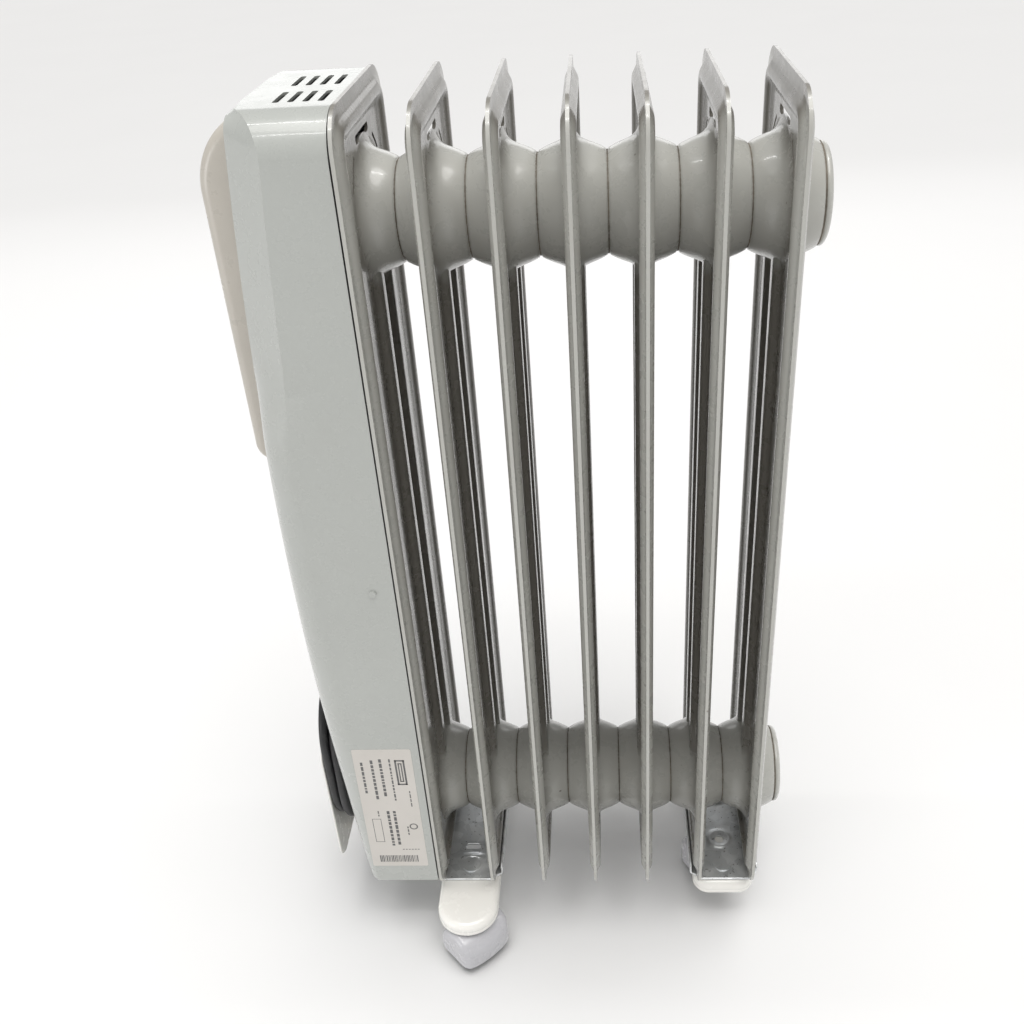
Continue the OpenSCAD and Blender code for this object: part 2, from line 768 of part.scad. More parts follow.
for (i = [1:fin_count])
    fin(i);
end_cap(1, fin_x(fin_count) + half_pitch, high_z);  // end_cap_top
end_cap(1, fin_x(fin_count) + half_pitch, low_z);  // end_cap_bottom
end_cap(-1, fin_x(1) - half_pitch, high_z);  // inner_cap_top
element_flange();
element_gasket();
heating_element();
element_bolts();
cover();
inner_plate();
plate_studs();
cover_screws();
front_bezel();
thermostat_body();
thermostat_shaft();
thermostat_knob();
switch_housing();
rocker(-1);  // rocker_1
rocker(1);  // rocker_2
pilot_lamp();
thermal_cutout();
terminal_block();
internal_wires();
cord_hook();
strain_relief();
cord_lead();
cord_winding();
cord_tail();
plug_body();
plug_blades();
rating_label();
foot_channel(foot_x(-1));  // foot_channel_left
foot_channel(foot_x(1));  // foot_channel_right
arm_rivets();
for (c = CORNERS) {
    p = pivot(c);
    q = stem_at(c);
    arm(p[0], p[1], c[3]);
    stem(q[0], q[1]);
    hood(q[0], q[1], c[4]);
    axle(q[0], q[1], c[4]);
    wheel(q[0], q[1], c[4]);
}
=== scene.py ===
"""Oil filled radiator heater: the looks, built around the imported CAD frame."""

import math

import bmesh
import bpy
import numpy as np
import openvdb
from mathutils import Matrix, Vector


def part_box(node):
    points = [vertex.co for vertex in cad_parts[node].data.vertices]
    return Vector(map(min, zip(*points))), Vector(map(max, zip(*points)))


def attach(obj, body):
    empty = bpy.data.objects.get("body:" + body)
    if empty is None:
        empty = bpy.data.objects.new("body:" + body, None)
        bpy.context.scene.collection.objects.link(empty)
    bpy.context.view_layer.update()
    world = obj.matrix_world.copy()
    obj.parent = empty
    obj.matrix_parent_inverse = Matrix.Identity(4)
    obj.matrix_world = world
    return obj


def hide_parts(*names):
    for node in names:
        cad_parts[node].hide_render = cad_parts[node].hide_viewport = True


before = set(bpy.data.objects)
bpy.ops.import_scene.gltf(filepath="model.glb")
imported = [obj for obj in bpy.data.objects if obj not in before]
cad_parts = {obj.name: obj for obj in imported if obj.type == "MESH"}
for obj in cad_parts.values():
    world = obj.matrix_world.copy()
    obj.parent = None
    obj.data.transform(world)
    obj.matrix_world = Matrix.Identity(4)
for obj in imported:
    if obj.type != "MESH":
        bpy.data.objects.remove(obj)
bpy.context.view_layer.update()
MM = 0.001

# ---- Sizes, in millimetres, read from the frame where it holds them ----


def box_mm(node):
    lo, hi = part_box(node)
    return np.array(lo) / MM, np.array(hi) / MM


FIN_X = [float((box_mm(f"fin_{i}")[0][0] + box_mm(f"fin_{i}")[1][0]) / 2) for i in range(1, 8)]
PITCH = FIN_X[1] - FIN_X[0]
HALF_PITCH = PITCH / 2
BASE_Z = float(box_mm("fin_1")[0][2])
TOP_Z = float(box_mm("fin_1")[1][2])
FIN_W = float(box_mm("fin_1")[1][1]) * 2
FIN_H = TOP_Z - BASE_Z
FIN_CORNER = 22
LOW_Z = BASE_Z + 60
HIGH_Z = LOW_Z + 437
COLLAR_R, SEAM_R, BARREL_STEPS = 34.0, 28.5, 128
BOX_LO, BOX_HI = box_mm("cover")
BOX_FRONT, BOX_BACK = float(BOX_LO[0]), float(BOX_HI[0])
BOX_Z0, BOX_TOP = float(BOX_LO[2]), float(BOX_HI[2])
BOX_W = float(BOX_HI[1]) * 2
HANDLE_FRONT = float(box_mm("front_bezel")[0][0])
BOW_R = 2600.0
BOW_Z = BOX_Z0 + (BOX_TOP - BOX_Z0) * 0.513
PANEL_X = BOX_FRONT + 8
KNOB_Z = BASE_Z + 422
SWITCH_Z = BASE_Z + 380
LAMP_Z = BASE_Z + 456
FOOT_X = {"left": (FIN_X[0] + FIN_X[1]) / 2, "right": (FIN_X[5] + FIN_X[6]) / 2}
PIVOT_Y, STEM_OFFSET, TRAIL, WHEEL_R = 46.0, 34.0, 8.0, 15.5
AXLE_BACK, WHEEL_W = TRAIL - 0.7, 23.0
CORNERS = {
    "near_left": (-1, 0, 44),
    "near_right": (-1, 180, -150),
    "far_left": (1, 180, 136),
    "far_right": (1, 180, -73),
}


def front_x(z):
    """X of the box's bowed front at height z."""
    return BOX_FRONT + BOW_R - np.sqrt(BOW_R**2 - (z - BOW_Z) ** 2)


# ---- Camera ----

scene = bpy.context.scene
cam_data = bpy.data.cameras.new("camera")
cam_data.sensor_width = 36
cam_data.lens = 38.25
cam_data.shift_x = -0.0322
cam_data.clip_end = 200
camera = bpy.data.objects.new("camera", cam_data)
scene.collection.objects.link(camera)
right = Vector((0.99808, 0.03668, -0.04983))
up = Vector((0.0225, 0.5346, 0.8448))
back = Vector((0.05762, -0.84432, 0.53273))
camera.matrix_world = Matrix(
    (
        (right.x, up.x, back.x, 0.0451),
        (right.y, up.y, back.y, -0.6094),
        (right.z, up.z, back.z, 0.7257),
        (0, 0, 0, 1),
    )
)
scene.camera = camera

# ---- Materials ----


class Shader:
    """A small builder of node materials. Positions are in object space, in metres."""

    def __init__(self, name):
        self.mat = bpy.data.materials.new(name)
        self.mat.use_nodes = True
        self.tree = self.mat.node_tree
        self.tree.nodes.clear()
        self.out = self.tree.nodes.new("ShaderNodeOutputMaterial")
        self.bsdf = self.tree.nodes.new("ShaderNodeBsdfPrincipled")
        self.link(self.bsdf.outputs[0], self.out.inputs[0])
        self.coord = self.tree.nodes.new("ShaderNodeTexCoord").outputs["Object"]

    def link(self, a, b):
        self.tree.links.new(a, b)

    def node(self, kind, **props):
        n = self.tree.nodes.new(kind)
        for k, v in props.items():
            setattr(n, k, v)
        return n

    def put(self, socket, value):
        """Links a socket to a socket, or sets it to a constant."""
        if isinstance(value, bpy.types.NodeSocket):
            self.link(value, socket)
        else:
            socket.default_value = value

    def noise(self, scale, detail=3.0, rough=0.55, stretch=(1, 1, 1), distortion=0.0):
        m = self.node("ShaderNodeMapping")
        m.inputs["Scale"].default_value = stretch
        self.link(self.coord, m.inputs[0])
        n = self.node("ShaderNodeTexNoise")
        self.link(m.outputs[0], n.inputs["Vector"])
        n.inputs["Scale"].default_value = scale
        n.inputs["Detail"].default_value = detail
        n.inputs["Roughness"].default_value = rough
        n.inputs["Distortion"].default_value = distortion
        return n.outputs["Fac"]

    def ramp(self, fac, stops):
        r = self.node("ShaderNodeValToRGB")
        self.link(fac, r.inputs[0])
        els = r.color_ramp.elements
        while len(els) < len(stops):
            els.new(0.5)
        for e, (pos, col) in zip(els, stops):
            e.position = pos
            e.color = (*col, 1) if hasattr(col, "__len__") else (col, col, col, 1)
        return r.outputs[0]

    def mix(self, fac, a, b, mode="MIX"):
        n = self.node("ShaderNodeMix", data_type="RGBA", blend_type=mode)
        self.put(n.inputs[0], fac)
        for s, v in ((n.inputs[6], a), (n.inputs[7], b)):
            self.put(s, (*v, 1) if isinstance(v, tuple) and len(v) == 3 else v)
        return n.outputs[2]

    def math(self, op, a, b=0.0, clamp=False):
        n = self.node("ShaderNodeMath", operation=op, use_clamp=clamp)
        self.put(n.inputs[0], a)
        self.put(n.inputs[1], b)
        return n.outputs[0]

    def bump(self, height, strength, distance, normal=None):
        n = self.node("ShaderNodeBump")
        n.inputs["Strength"].default_value = strength
        n.inputs["Distance"].default_value = distance
        self.link(height, n.inputs["Height"])
        if normal is not None:
            self.link(normal, n.inputs["Normal"])
        return n.outputs[0]

    def done(self, color, rough, normal=None, **constants):
        self.put(self.bsdf.inputs["Base Color"], color)
        self.put(self.bsdf.inputs["Roughness"], rough)
        if normal is not None:
            self.link(normal, self.bsdf.inputs["Normal"])
        for k, v in constants.items():
            self.bsdf.inputs[k.replace("_", " ")].default_value = v
        return self.mat


def paint(name, base, dirt, rough=0.30, chips=0.0, dirt_amount=0.5):
    """Sprayed enamel on sheet steel: orange peel, painted shade where a mesh's "dust_and_shade" says,
    dirt and chips.
    """
    s = Shader(name)
    broad = s.noise(9, 4, 0.6)
    fine = s.noise(60, 4, 0.65)
    tone = s.mix(s.ramp(broad, [(0.35, 0.0), (0.75, 1.0)]), base, tuple(c * 0.955 for c in base))
    patches = s.ramp(broad, [(0.45, 0.0), (0.8, 1.0)])
    grime = s.math("MULTIPLY", patches, s.ramp(fine, [(0.4, 0.0), (0.75, 1.0)]))
    color = s.mix(s.math("MULTIPLY", grime, dirt_amount), tone, dirt)
    if chips:
        # painted shade: darkens to a dark brown where the mesh's dust_and_shade attribute is high, on
        # the fin webs and under the barrels
        dust_and_shade = s.node("ShaderNodeAttribute", attribute_name="dust_and_shade").outputs["Fac"]
        color = s.mix(dust_and_shade, color, (0.13, 0.115, 0.095))
        spots = s.ramp(s.noise(120, 2, 0.5), [(0.735 - chips, 0.0), (0.75 - chips, 1.0)])
        color = s.mix(s.math("MULTIPLY", spots, 0.75), color, (0.16, 0.14, 0.12))
    peel = s.noise(900, 2, 0.5)
    waves = s.noise(22, 2, 0.5)
    normal = s.bump(peel, 0.06, 0.0002, s.bump(waves, 0.10, 0.0008))
    gloss = s.ramp(fine, [(0.3, rough - 0.05), (0.7, rough + 0.10)])
    return s.done(color, gloss, normal, Coat_Weight=0.55, Coat_Roughness=0.08)


def plastic(name, base, dark, rough=0.35, grain=0.05, speck=0.25, coat=0.0):
    """Moulded plastic: slight colour drift, fine grain, faint scuffs."""
    s = Shader(name)
    broad = s.noise(14, 3, 0.6)
    fine = s.noise(140, 3, 0.6)
    tone = s.mix(s.ramp(broad, [(0.3, 0.0), (0.75, 1.0)]), base, dark)
    spots = s.ramp(fine, [(0.60, 0.0), (0.78, 1.0)])
    color = s.mix(s.math("MULTIPLY", spots, speck), tone, tuple(c * 0.6 for c in dark))
    normal = s.bump(s.noise(1500, 2, 0.5), grain, 0.0001, s.bump(s.noise(30, 2, 0.5), 0.05, 0.0006))
    gloss = s.ramp(fine, [(0.3, rough - 0.06), (0.75, rough + 0.12)])
    return s.done(color, gloss, normal, Coat_Weight=coat, Coat_Roughness=0.1)


def metal(name, base, dark, rough=0.35, stretch=(1, 1, 1), scale=300):
    """Bright metal with drawn or ground marks."""
    s = Shader(name)
    marks = s.noise(scale, 3, 0.6, stretch)
    broad = s.noise(25, 3, 0.6)
    color = s.mix(s.ramp(broad, [(0.35, 0.0), (0.7, 1.0)]), base, dark)
    gloss = s.ramp(marks, [(0.3, rough - 0.08), (0.7, rough + 0.10)])
    return s.done(color, gloss, s.bump(marks, 0.08, 0.0001), Metallic=1.0)


def zinc():
    """Hot dipped sheet: spangles of differing tone, white bloom and dust."""
    s = Shader("zinc_spangle")
    cells = s.node("ShaderNodeTexVoronoi", feature="F1")
    cells.inputs["Scale"].default_value = 170
    warp = s.node("ShaderNodeVectorMath", operation="MULTIPLY_ADD")
    n = s.node("ShaderNodeTexNoise")
    s.link(s.coord, n.inputs["Vector"])
    n.inputs["Scale"].default_value = 90
    s.link(n.outputs["Color"], warp.inputs[0])
    warp.inputs[1].default_value = (0.006, 0.006, 0.006)
    s.link(s.coord, warp.inputs[2])
    s.link(warp.outputs[0], cells.inputs["Vector"])
    tone = s.node("ShaderNodeSeparateColor")
    s.link(cells.outputs["Color"], tone.inputs[0])
    spangle = s.ramp(tone.outputs[0], [(0.0, (0.66, 0.68, 0.69)), (1.0, (0.84, 0.86, 0.87))])
    bloom = s.ramp(s.noise(35, 4, 0.65), [(0.45, 0.0), (0.72, 1.0)])
    color = s.mix(s.math("MULTIPLY", bloom, 0.55), spangle, (0.74, 0.74, 0.72))
    specks = s.ramp(s.noise(420, 2, 0.5), [(0.66, 0.0), (0.70, 1.0)])
    color = s.mix(s.math("MULTIPLY", specks, 0.6), color, (0.12, 0.11, 0.10))
    gloss = s.ramp(bloom, [(0.0, 0.30), (1.0, 0.52)])
    metallic = s.ramp(bloom, [(0.0, 0.75), (1.0, 0.35)])
    s.put(s.bsdf.inputs["Metallic"], metallic)
    return s.done(color, gloss, s.bump(tone.outputs[0], 0.05, 0.0002))


def rubber(name, base, rough=0.55):
    """Rubber or soft black plastic with dust in its grain."""
    s = Shader(name)
    fine = s.noise(260, 4, 0.6)
    broad = s.noise(30, 3, 0.6)
    color = s.mix(s.ramp(broad, [(0.4, 0.0), (0.75, 1.0)]), base, tuple(c * 2.0 + 0.012 for c in base))
    # pale grit specks in the rubber's grain; no shade is painted here
    dust_and_shade = s.ramp(fine, [(0.55, 0.0), (0.8, 1.0)])
    color = s.mix(s.math("MULTIPLY", dust_and_shade, 0.25), color, (0.16, 0.155, 0.15))
    gloss = s.ramp(fine, [(0.3, rough - 0.08), (0.7, rough + 0.12)])
    return s.done(color, gloss, s.bump(fine, 0.10, 0.0002))


PAINT = paint(
    "paint_box", (0.45, 0.465, 0.44), (0.40, 0.38, 0.34), rough=0.24, dirt_amount=0.10
)
# fin paint: its chips setting also turns on the painted shade of the webs and barrel undersides
PAINT_FIN = paint(
    "paint_fin", (0.51, 0.51, 0.475), (0.33, 0.29, 0.23), rough=0.26, chips=-0.045, dirt_amount=0.32
)
CREAM = plastic(
    "cream_plastic", (0.53, 0.495, 0.44), (0.49, 0.46, 0.41), rough=0.30, coat=0.3, speck=0.06
)
WHITE = plastic(
    "arm_plastic", (0.94, 0.93, 0.89), (0.91, 0.89, 0.84), rough=0.22, coat=0.4, speck=0.05
)
KNOB = plastic("knob_plastic", (0.76, 0.71, 0.61), (0.70, 0.65, 0.56), rough=0.32, coat=0.2)
HOOD = plastic(
    "hood_plastic", (0.56, 0.56, 0.585), (0.53, 0.525, 0.55), rough=0.24, coat=0.4, speck=0.05
)
BLACK = plastic(
    "black_plastic", (0.022, 0.022, 0.024), (0.03, 0.03, 0.032), rough=0.38, speck=0.2
)
ROLLER = plastic(
    "roller_plastic", (0.05, 0.05, 0.052), (0.035, 0.035, 0.036), rough=0.42, grain=0.15
)
CORD = rubber("cord_jacket", (0.012, 0.012, 0.013), rough=0.45)
ZINC = zinc()
STEEL = metal("steel", (0.62, 0.62, 0.61), (0.50, 0.50, 0.49), 0.34)
PLATE = metal("plated_sheet", (0.60, 0.61, 0.61), (0.52, 0.53, 0.53), 0.40, (1, 1, 0.15), 200)
BRASS = metal("brass", (0.76, 0.60, 0.30), (0.66, 0.50, 0.24), 0.28)
ELEMENT = metal(
    "element_sheath", (0.34, 0.29, 0.26), (0.22, 0.19, 0.20), 0.45, (0.2, 1, 1), 260
)
CERAMIC = plastic("terminal_plastic", (0.80, 0.77, 0.68), (0.74, 0.71, 0.62), rough=0.5)
WIRE = plastic("wire_insulation", (0.24, 0.09, 0.045), (0.20, 0.07, 0.04), rough=0.4)
GASKET = rubber("gasket", (0.05, 0.05, 0.05), 0.7)
PRINT = plastic("label_print", (0.10, 0.10, 0.10), (0.14, 0.14, 0.14), rough=0.5)
LABEL = plastic(
    "label_film", (0.66, 0.63, 0.59), (0.60, 0.57, 0.53), rough=0.42, grain=0.02, speck=0.1
)
LAMP = plastic("lamp_lens", (0.75, 0.23, 0.05), (0.62, 0.17, 0.04), rough=0.15, coat=0.6)
WELD = rubber("weld_line", (0.10, 0.085, 0.065), 0.6)

# ---- Mesh building: distance fields for moulded parts, lathes and lofts for the rest ----


def mesh_object(name, points_mm, faces, material, body="heater", replaces=(), slot=None, smooth=True):
    mesh = bpy.data.meshes.new(name)
    mesh.from_pydata([tuple(p) for p in np.asarray(points_mm) * MM], [], [tuple(f) for f in faces])
    bm = bmesh.new()
    bm.from_mesh(mesh)
    bmesh.ops.remove_doubles(bm, verts=bm.verts, dist=1e-6)
    bmesh.ops.dissolve_degenerate(bm, edges=bm.edges, dist=1e-7)
    bmesh.ops.recalc_face_normals(bm, faces=bm.faces)
    bm.to_mesh(mesh)
    bm.free()
    mesh.materials.append(material)
    obj = bpy.data.objects.new(name, mesh)
    scene.collection.objects.link(obj)
    if smooth:
        mesh.shade_smooth()
    settle(obj, body, replaces)
    return obj


def settle(obj, body, replaces=()):
    """Puts a finished piece on its body, and hides the CAD nodes it stands for."""
    if body:
        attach(obj, body)
    if replaces:
        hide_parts(*replaces)


def sharpen(obj, degrees=35):
    """Keeps smooth shading except across edges sharper than the angle."""
    bm = bmesh.new()
    bm.from_mesh(obj.data)
    for e in bm.edges:
        e.smooth = not (e.is_manifold and e.calc_face_angle(0) > math.radians(degrees))
    bm.to_mesh(obj.data)
    bm.free()


def outward(obj, centre=None):
    """Faces of a closed mesh point out; those of an open shell point away from a point inside it."""
    bm = bmesh.new()
    bm.from_mesh(obj.data)
    bmesh.ops.recalc_face_normals(bm, faces=bm.faces)
    if centre is None:
        wrong = bm.calc_volume(signed=True) < 0
    else:
        facing = [(f.calc_center_median() - centre).dot(f.normal) * f.calc_area() for f in bm.faces]
        wrong = sum(facing) < 0
    if wrong:
        bmesh.ops.reverse_faces(bm, faces=bm.faces)
    bm.to_mesh(obj.data)
    bm.free()


def apply_modifiers(obj):
    graph = bpy.context.evaluated_depsgraph_get()
    mesh = bpy.data.meshes.new_from_object(obj.evaluated_get(graph))
    obj.modifiers.clear()
    old, obj.data = obj.data, mesh
    mesh.name = obj.name
    bpy.data.meshes.remove(old)


def field_mesh(name, lo, hi, step, field, material, move=None, **how):
    """Meshes the zero surface of a distance field given in millimetres over the box lo..hi."""
    axes = [np.arange(a - 3 * step, b + 3 * step, step) for a, b in zip(lo, hi)]
    x, y, z = np.meshgrid(*axes, indexing="ij", sparse=True)
    values = np.broadcast_to(field(x, y, z), [len(a) for a in axes])
    grid = openvdb.FloatGrid()
    grid.background = 3.0
    grid.copyFromArray(np.ascontiguousarray(np.clip(values, -3, 3), dtype=np.float32))
    points, tris, quads = grid.convertToPolygons(isovalue=0.0, adaptivity=0.0)
    points = np.asarray(points, float) * step + np.array([a[0] for a in axes])
    if move is not None:
        points = move(points)
    faces = [tuple(f) for f in tris] + [tuple(f) for f in quads]
    return mesh_object(name, points, faces, material, **how)


def meet(a, b, r):
    """Intersection of two fields, with an edge of radius r."""
    u, v = np.maximum(a + r, 0), np.maximum(b + r, 0)
    return np.minimum(-r, np.maximum(a, b)) + np.sqrt(u * u + v * v)


def cut(a, b, r):
    """Field a less field b, with an edge of radius r."""
    return meet(a, -b, r)


def join(a, b, r):
    """Union of two fields, with a fillet of radius r."""
    return -meet(-a, -b, r)


def box2(u, v, half_u, half_v, r):
    """Rounded rectangle centred on the origin."""
    qu, qv = np.abs(u) - half_u + r, np.abs(v) - half_v + r
    return np.minimum(np.maximum(qu, qv), 0) + np.hypot(np.maximum(qu, 0), np.maximum(qv, 0)) - r


def slot2(u, v, half_straight, r):
    """Slot with round ends, long in v."""
    return np.hypot(u, np.maximum(np.abs(v) - half_straight, 0)) - r


def bridge(loops, close_ends=(False, False)):
    """Faces between closed loops of equal length, numbered one after another."""
    n = loops[0]
    faces = []
    for k in range(loops[1] - 1):
        for i in range(n):
            j = (i + 1) % n
            faces.append((k * n + i, k * n + j, (k + 1) * n + j, (k + 1) * n + i))
    if close_ends[0]:
        faces.append(tuple(range(n)))
    if close_ends[1]:
        faces.append(tuple(range((loops[1] - 1) * n, loops[1] * n)))
    return faces


def lathe(profile, segments=96, ripple=None):
    """Points and faces of a profile of (radius, height) turned about Z, closed at both ends."""
    points = []
    for r, h in profile:
        for i in range(segments):
            a = 2 * math.pi * i / segments
            rr = r + (ripple(r, h, a) if ripple else 0)
            points.append((rr * math.cos(a), rr * math.sin(a), h))
    ends = (profile[0][0] > 1e-6, profile[-1][0] > 1e-6)
    return np.array(points), bridge((segments, len(profile)), ends)


def smooth_profile(profile, radius=0.6, steps=4):
    """Rounds each corner of a profile of (radius, height) with a short curve."""
    out = [profile[0]]
    for a, b, c in zip(profile, profile[1:], profile[2:]):
        a, b, c = np.array(a, float), np.array(b, float), np.array(c, float)
        la, lc = np.linalg.norm(a - b), np.linalg.norm(c - b)
        t = min(radius, la * 0.45, lc * 0.45)
        p, q = b + (a - b) / la * t, b + (c - b) / lc * t
        for k in range(steps + 1):
            s = k / steps
            out.append(tuple(p * (1 - s) ** 2 + 2 * b * s * (1 - s) + q * s**2))
    return out + [profile[-1]]


def along_x(points):
    """Turns points made about Z so that their axis lies along X."""
    return points[:, [2, 0, 1]]


def rounded_loop(low, high, radii, runs, corner_steps):
    """Closed loop of (y, z) round a rectangle, counterclockwise from its lower left corner.

    radii are those of the corners low-left, low-right, high-right, high-left; runs the
    points along the bottom and top, and along the sides.
    """
    (y0, z0), (y1, z1) = low, high
    corners = [(y0, z0, 180), (y1, z0, 270), (y1, z1, 0), (y0, z1, 90)]
    arcs = []
    for (y, z, start), r in zip(corners, radii):
        cy, cz = y + (r if y == y0 else -r), z + (r if z == z0 else -r)
        arcs.append(
            [
                (cy + r * math.cos(math.radians(start + 90 * k / corner_steps)),
                 cz + r * math.sin(math.radians(start + 90 * k / corner_steps)))
                for k in range(corner_steps + 1)
            ]
        )
    loop = []
    for k in range(4):
        loop += arcs[k]
        a, b = np.array(arcs[k][-1]), np.array(arcs[(k + 1) % 4][0])
        n = runs[k % 2]
        loop += [tuple(a + (b - a) * (i + 1) / (n + 1)) for i in range(n)]
    return np.array(loop)


def boolean(obj, cutter, operation="DIFFERENCE"):
    m = obj.modifiers.new("cut", "BOOLEAN")
    m.operation, m.solver, m.object = operation, "MANIFOLD", cutter
    apply_modifiers(obj)
    bpy.data.objects.remove(cutter)


def prisms(outlines, a, b, axis):
    """A cutter of prisms: outlines are loops in the plane across the axis, which run from a to b."""
    points, faces = [], []
    for loop in outlines:
        n, base = len(loop), len(points)
        for depth in (a, b):
            for u, v in loop:
                points.append((depth, u, v) if axis == 0 else (u, v, depth))
        faces += [tuple(base + i for i in range(n)), tuple(base + n + i for i in range(n))]
        faces += [(base + i, base + (i + 1) % n, base + n + (i + 1) % n, base + n + i) for i in range(n)]
    return mesh_object("cutter", points, faces, PAINT, body=None)


def slot_loop(cu, cv, half_straight, r, long_v=True, steps=10):
    pts = []
    for s, start in ((1, 0), (-1, 180)):
        for k in range(steps + 1):
            a = math.radians(start + 180 * k / steps)
            pts.append((r * math.cos(a), s * half_straight + r * math.sin(a)))
    if not long_v:
        pts = [(v, -u) for u, v in pts]
    return [(cu + u, cv + v) for u, v in pts]


# ---- The cord: out below the box, wound on its hook, ending in the plug ----

CORD_D = 6.8
TURN_R, TURN_STEP, STRAIGHT = 29.0, 7.0, 21.0
COIL_Z = BASE_Z + 93
COIL_X = float(box_mm("cord_winding")[1][0])
LAYER_A, LAYER_B = COIL_X - TURN_STEP / 2, COIL_X - TURN_STEP * 1.5
OUTER_R = TURN_R + 2 * TURN_STEP
LEAD_R = 28.5
GLAND_X = LAYER_B + 2 * LEAD_R
GLAND_LEN = 20.0
EXIT_Z = BOX_Z0 - GLAND_LEN
LEAD_Z = EXIT_Z - 2
TAIL_Z = COIL_Z - STRAIGHT - OUTER_R
TAIL_Y = LEAD_R + 2
PLUG_TOP = TAIL_Z - LEAD_R - 3


def racetrack(turns_from, turns_to, radius, depth):
    """Points of an upright winding. A whole turn is over the top, down, under and up again."""
    stations = [(a, 1) for a in range(0, 181, 20)] + [(180, 0.33), (180, -0.33)]
    stations += [(a, -1) for a in range(180, 361, 20)] + [(360, -0.33), (360, 0.33)]
    out = []
    for k in range(int(round(turns_from * len(stations))), int(round(turns_to * len(stations))) + 1):
        t = k / len(stations)
        angle, side = stations[k % len(stations)]
        r = radius(t)
        a = math.radians(angle)
        out.append((depth(t), r * math.cos(a), COIL_Z + side * STRAIGHT + r * math.sin(a)))
    return out


def cord_route():
    """The lead rises into the front layer, winds in, crosses to the back layer and winds out."""
    pts = [(GLAND_X, OUTER_R, z) for z in (EXIT_Z, LEAD_Z)]
    for a in range(18, 181, 18):
        c, s = math.cos(math.radians(a)), math.sin(math.radians(a))
        pts.append((GLAND_X - LEAD_R + LEAD_R * c, OUTER_R, LEAD_Z - LEAD_R * s))
    pts += [(LAYER_B, OUTER_R, z) for z in (LEAD_Z + 22, LEAD_Z + 46, LEAD_Z + 68)]
    last = 4 + 16 / 24
    cross = lambda t: min(1.0, max(0.0, t - 2))
    r_in = lambda t: OUTER_R - TURN_STEP * min(t, 2)
    r_out = lambda t: max(0.0, t - 3) * 2 * TURN_STEP / (last - 3)
    ease = lambda f: f * f * (3 - 2 * f)
    radius = lambda t: r_in(t) + r_out(t)
    pts += racetrack(0, last, radius, lambda t: LAYER_B + (LAYER_A - LAYER_B) * ease(cross(t)))
    pts.append((LAYER_A, 1.0, TAIL_Z))
    for a in range(72, -1, -18):
        c, s = math.cos(math.radians(a)), math.sin(math.radians(a))
        pts.append((LAYER_A, 2 + LEAD_R * c, TAIL_Z - LEAD_R + LEAD_R * s))
    pts.append((LAYER_A, TAIL_Y, PLUG_TOP))
    return pts


def make_cord():
    pts = cord_route()
    curve = bpy.data.curves.new("mains_cord", "CURVE")
    curve.dimensions = "3D"
    curve.bevel_depth = CORD_D / 2 * MM
    curve.bevel_resolution = 6
    curve.resolution_u = 6
    spline = curve.splines.new("BEZIER")
    spline.bezier_points.add(len(pts) - 1)
    for p, co in zip(spline.bezier_points, pts):
        p.co = Vector(co) * MM
        p.handle_left_type = p.handle_right_type = "AUTO"
    curve.materials.append(CORD)
    obj = bpy.data.objects.new("mains_cord", curve)
    scene.collection.objects.link(obj)
    settle(obj, "heater", ("cord_lead", "cord_winding", "cord_tail"))
    bpy.context.view_layer.update()
    length = sum((Vector(b) - Vector(a)).length for a, b in zip(pts, pts[1:]))
    return obj, length * MM


def make_plug():
    def field(x, y, z):
        y, x, z = x - LAYER_A, y - TAIL_Y, z - PLUG_TOP
        waist = 1.3 * np.exp(-(((z + 19) / 5.0) ** 2))
        body = box2(x, y, 8.5 - waist * 0.5, 12.5 - waist, 5.5)
        body = meet(meet(body, z + 11, 3.0), -27 - z, 1.2)
        ribs = 0.55 * np.cos(np.clip(z, -11, 0) * 2 * math.pi / 2.6)
        neck = np.hypot(x, y) - (5.2 - z * 0.25 + ribs * (z > -10.5))
        neck = meet(meet(neck, z, 0.8), -13 - z, 0.5)
        grip = np.maximum(np.abs(np.mod(z + 24, 2.4) - 1.2) - 0.45, np.abs(y) - 7) + 0 * x
        body = np.maximum(body, -np.maximum(grip, 7.8 - np.abs(x)))
        return join(body, neck, 1.5)

    lo = (LAYER_A - 12.5, TAIL_Y - 8.5, PLUG_TOP - 27)
    hi = (LAYER_A + 12.5, TAIL_Y + 8.5, PLUG_TOP)
    return field_mesh("plug", lo, hi, 0.4, field, BLACK, replaces=("plug_body",), slot="black_rubber")


cord_obj, cord_length = make_cord()
plug_obj = make_plug()


def make_relief():
    """Tapered and ribbed strain relief where the cord leaves the box."""
    collar = [(3.6, 5), (8.8, 5), (8.8, 1.8), (6.8, 1.6), (6.8, -0.2), (8.8, -0.4), (8.8, -3)]
    prof = [(r, BOX_Z0 + z) for r, z in collar]
    for k in range(6):
        z = BOX_Z0 - 4 - k * 2.6
        r = 7.3 - k * 0.42
        prof += [(r, z), (r, z - 1.4), (r - 0.9, z - 1.7), (r - 0.9, z - 2.4)]
    prof += [(4.9, EXIT_Z + 0.8), (4.6, EXIT_Z), (3.6, EXIT_Z)]
    points, faces = lathe(smooth_profile(prof, 0.4, 2), 48)
    points += (GLAND_X, OUTER_R, 0)
    return mesh_object(
        "strain_relief_boot", points, faces, BLACK, replaces=("strain_relief",), slot="black_rubber"
    )


make_relief()

# ---- Fins ----


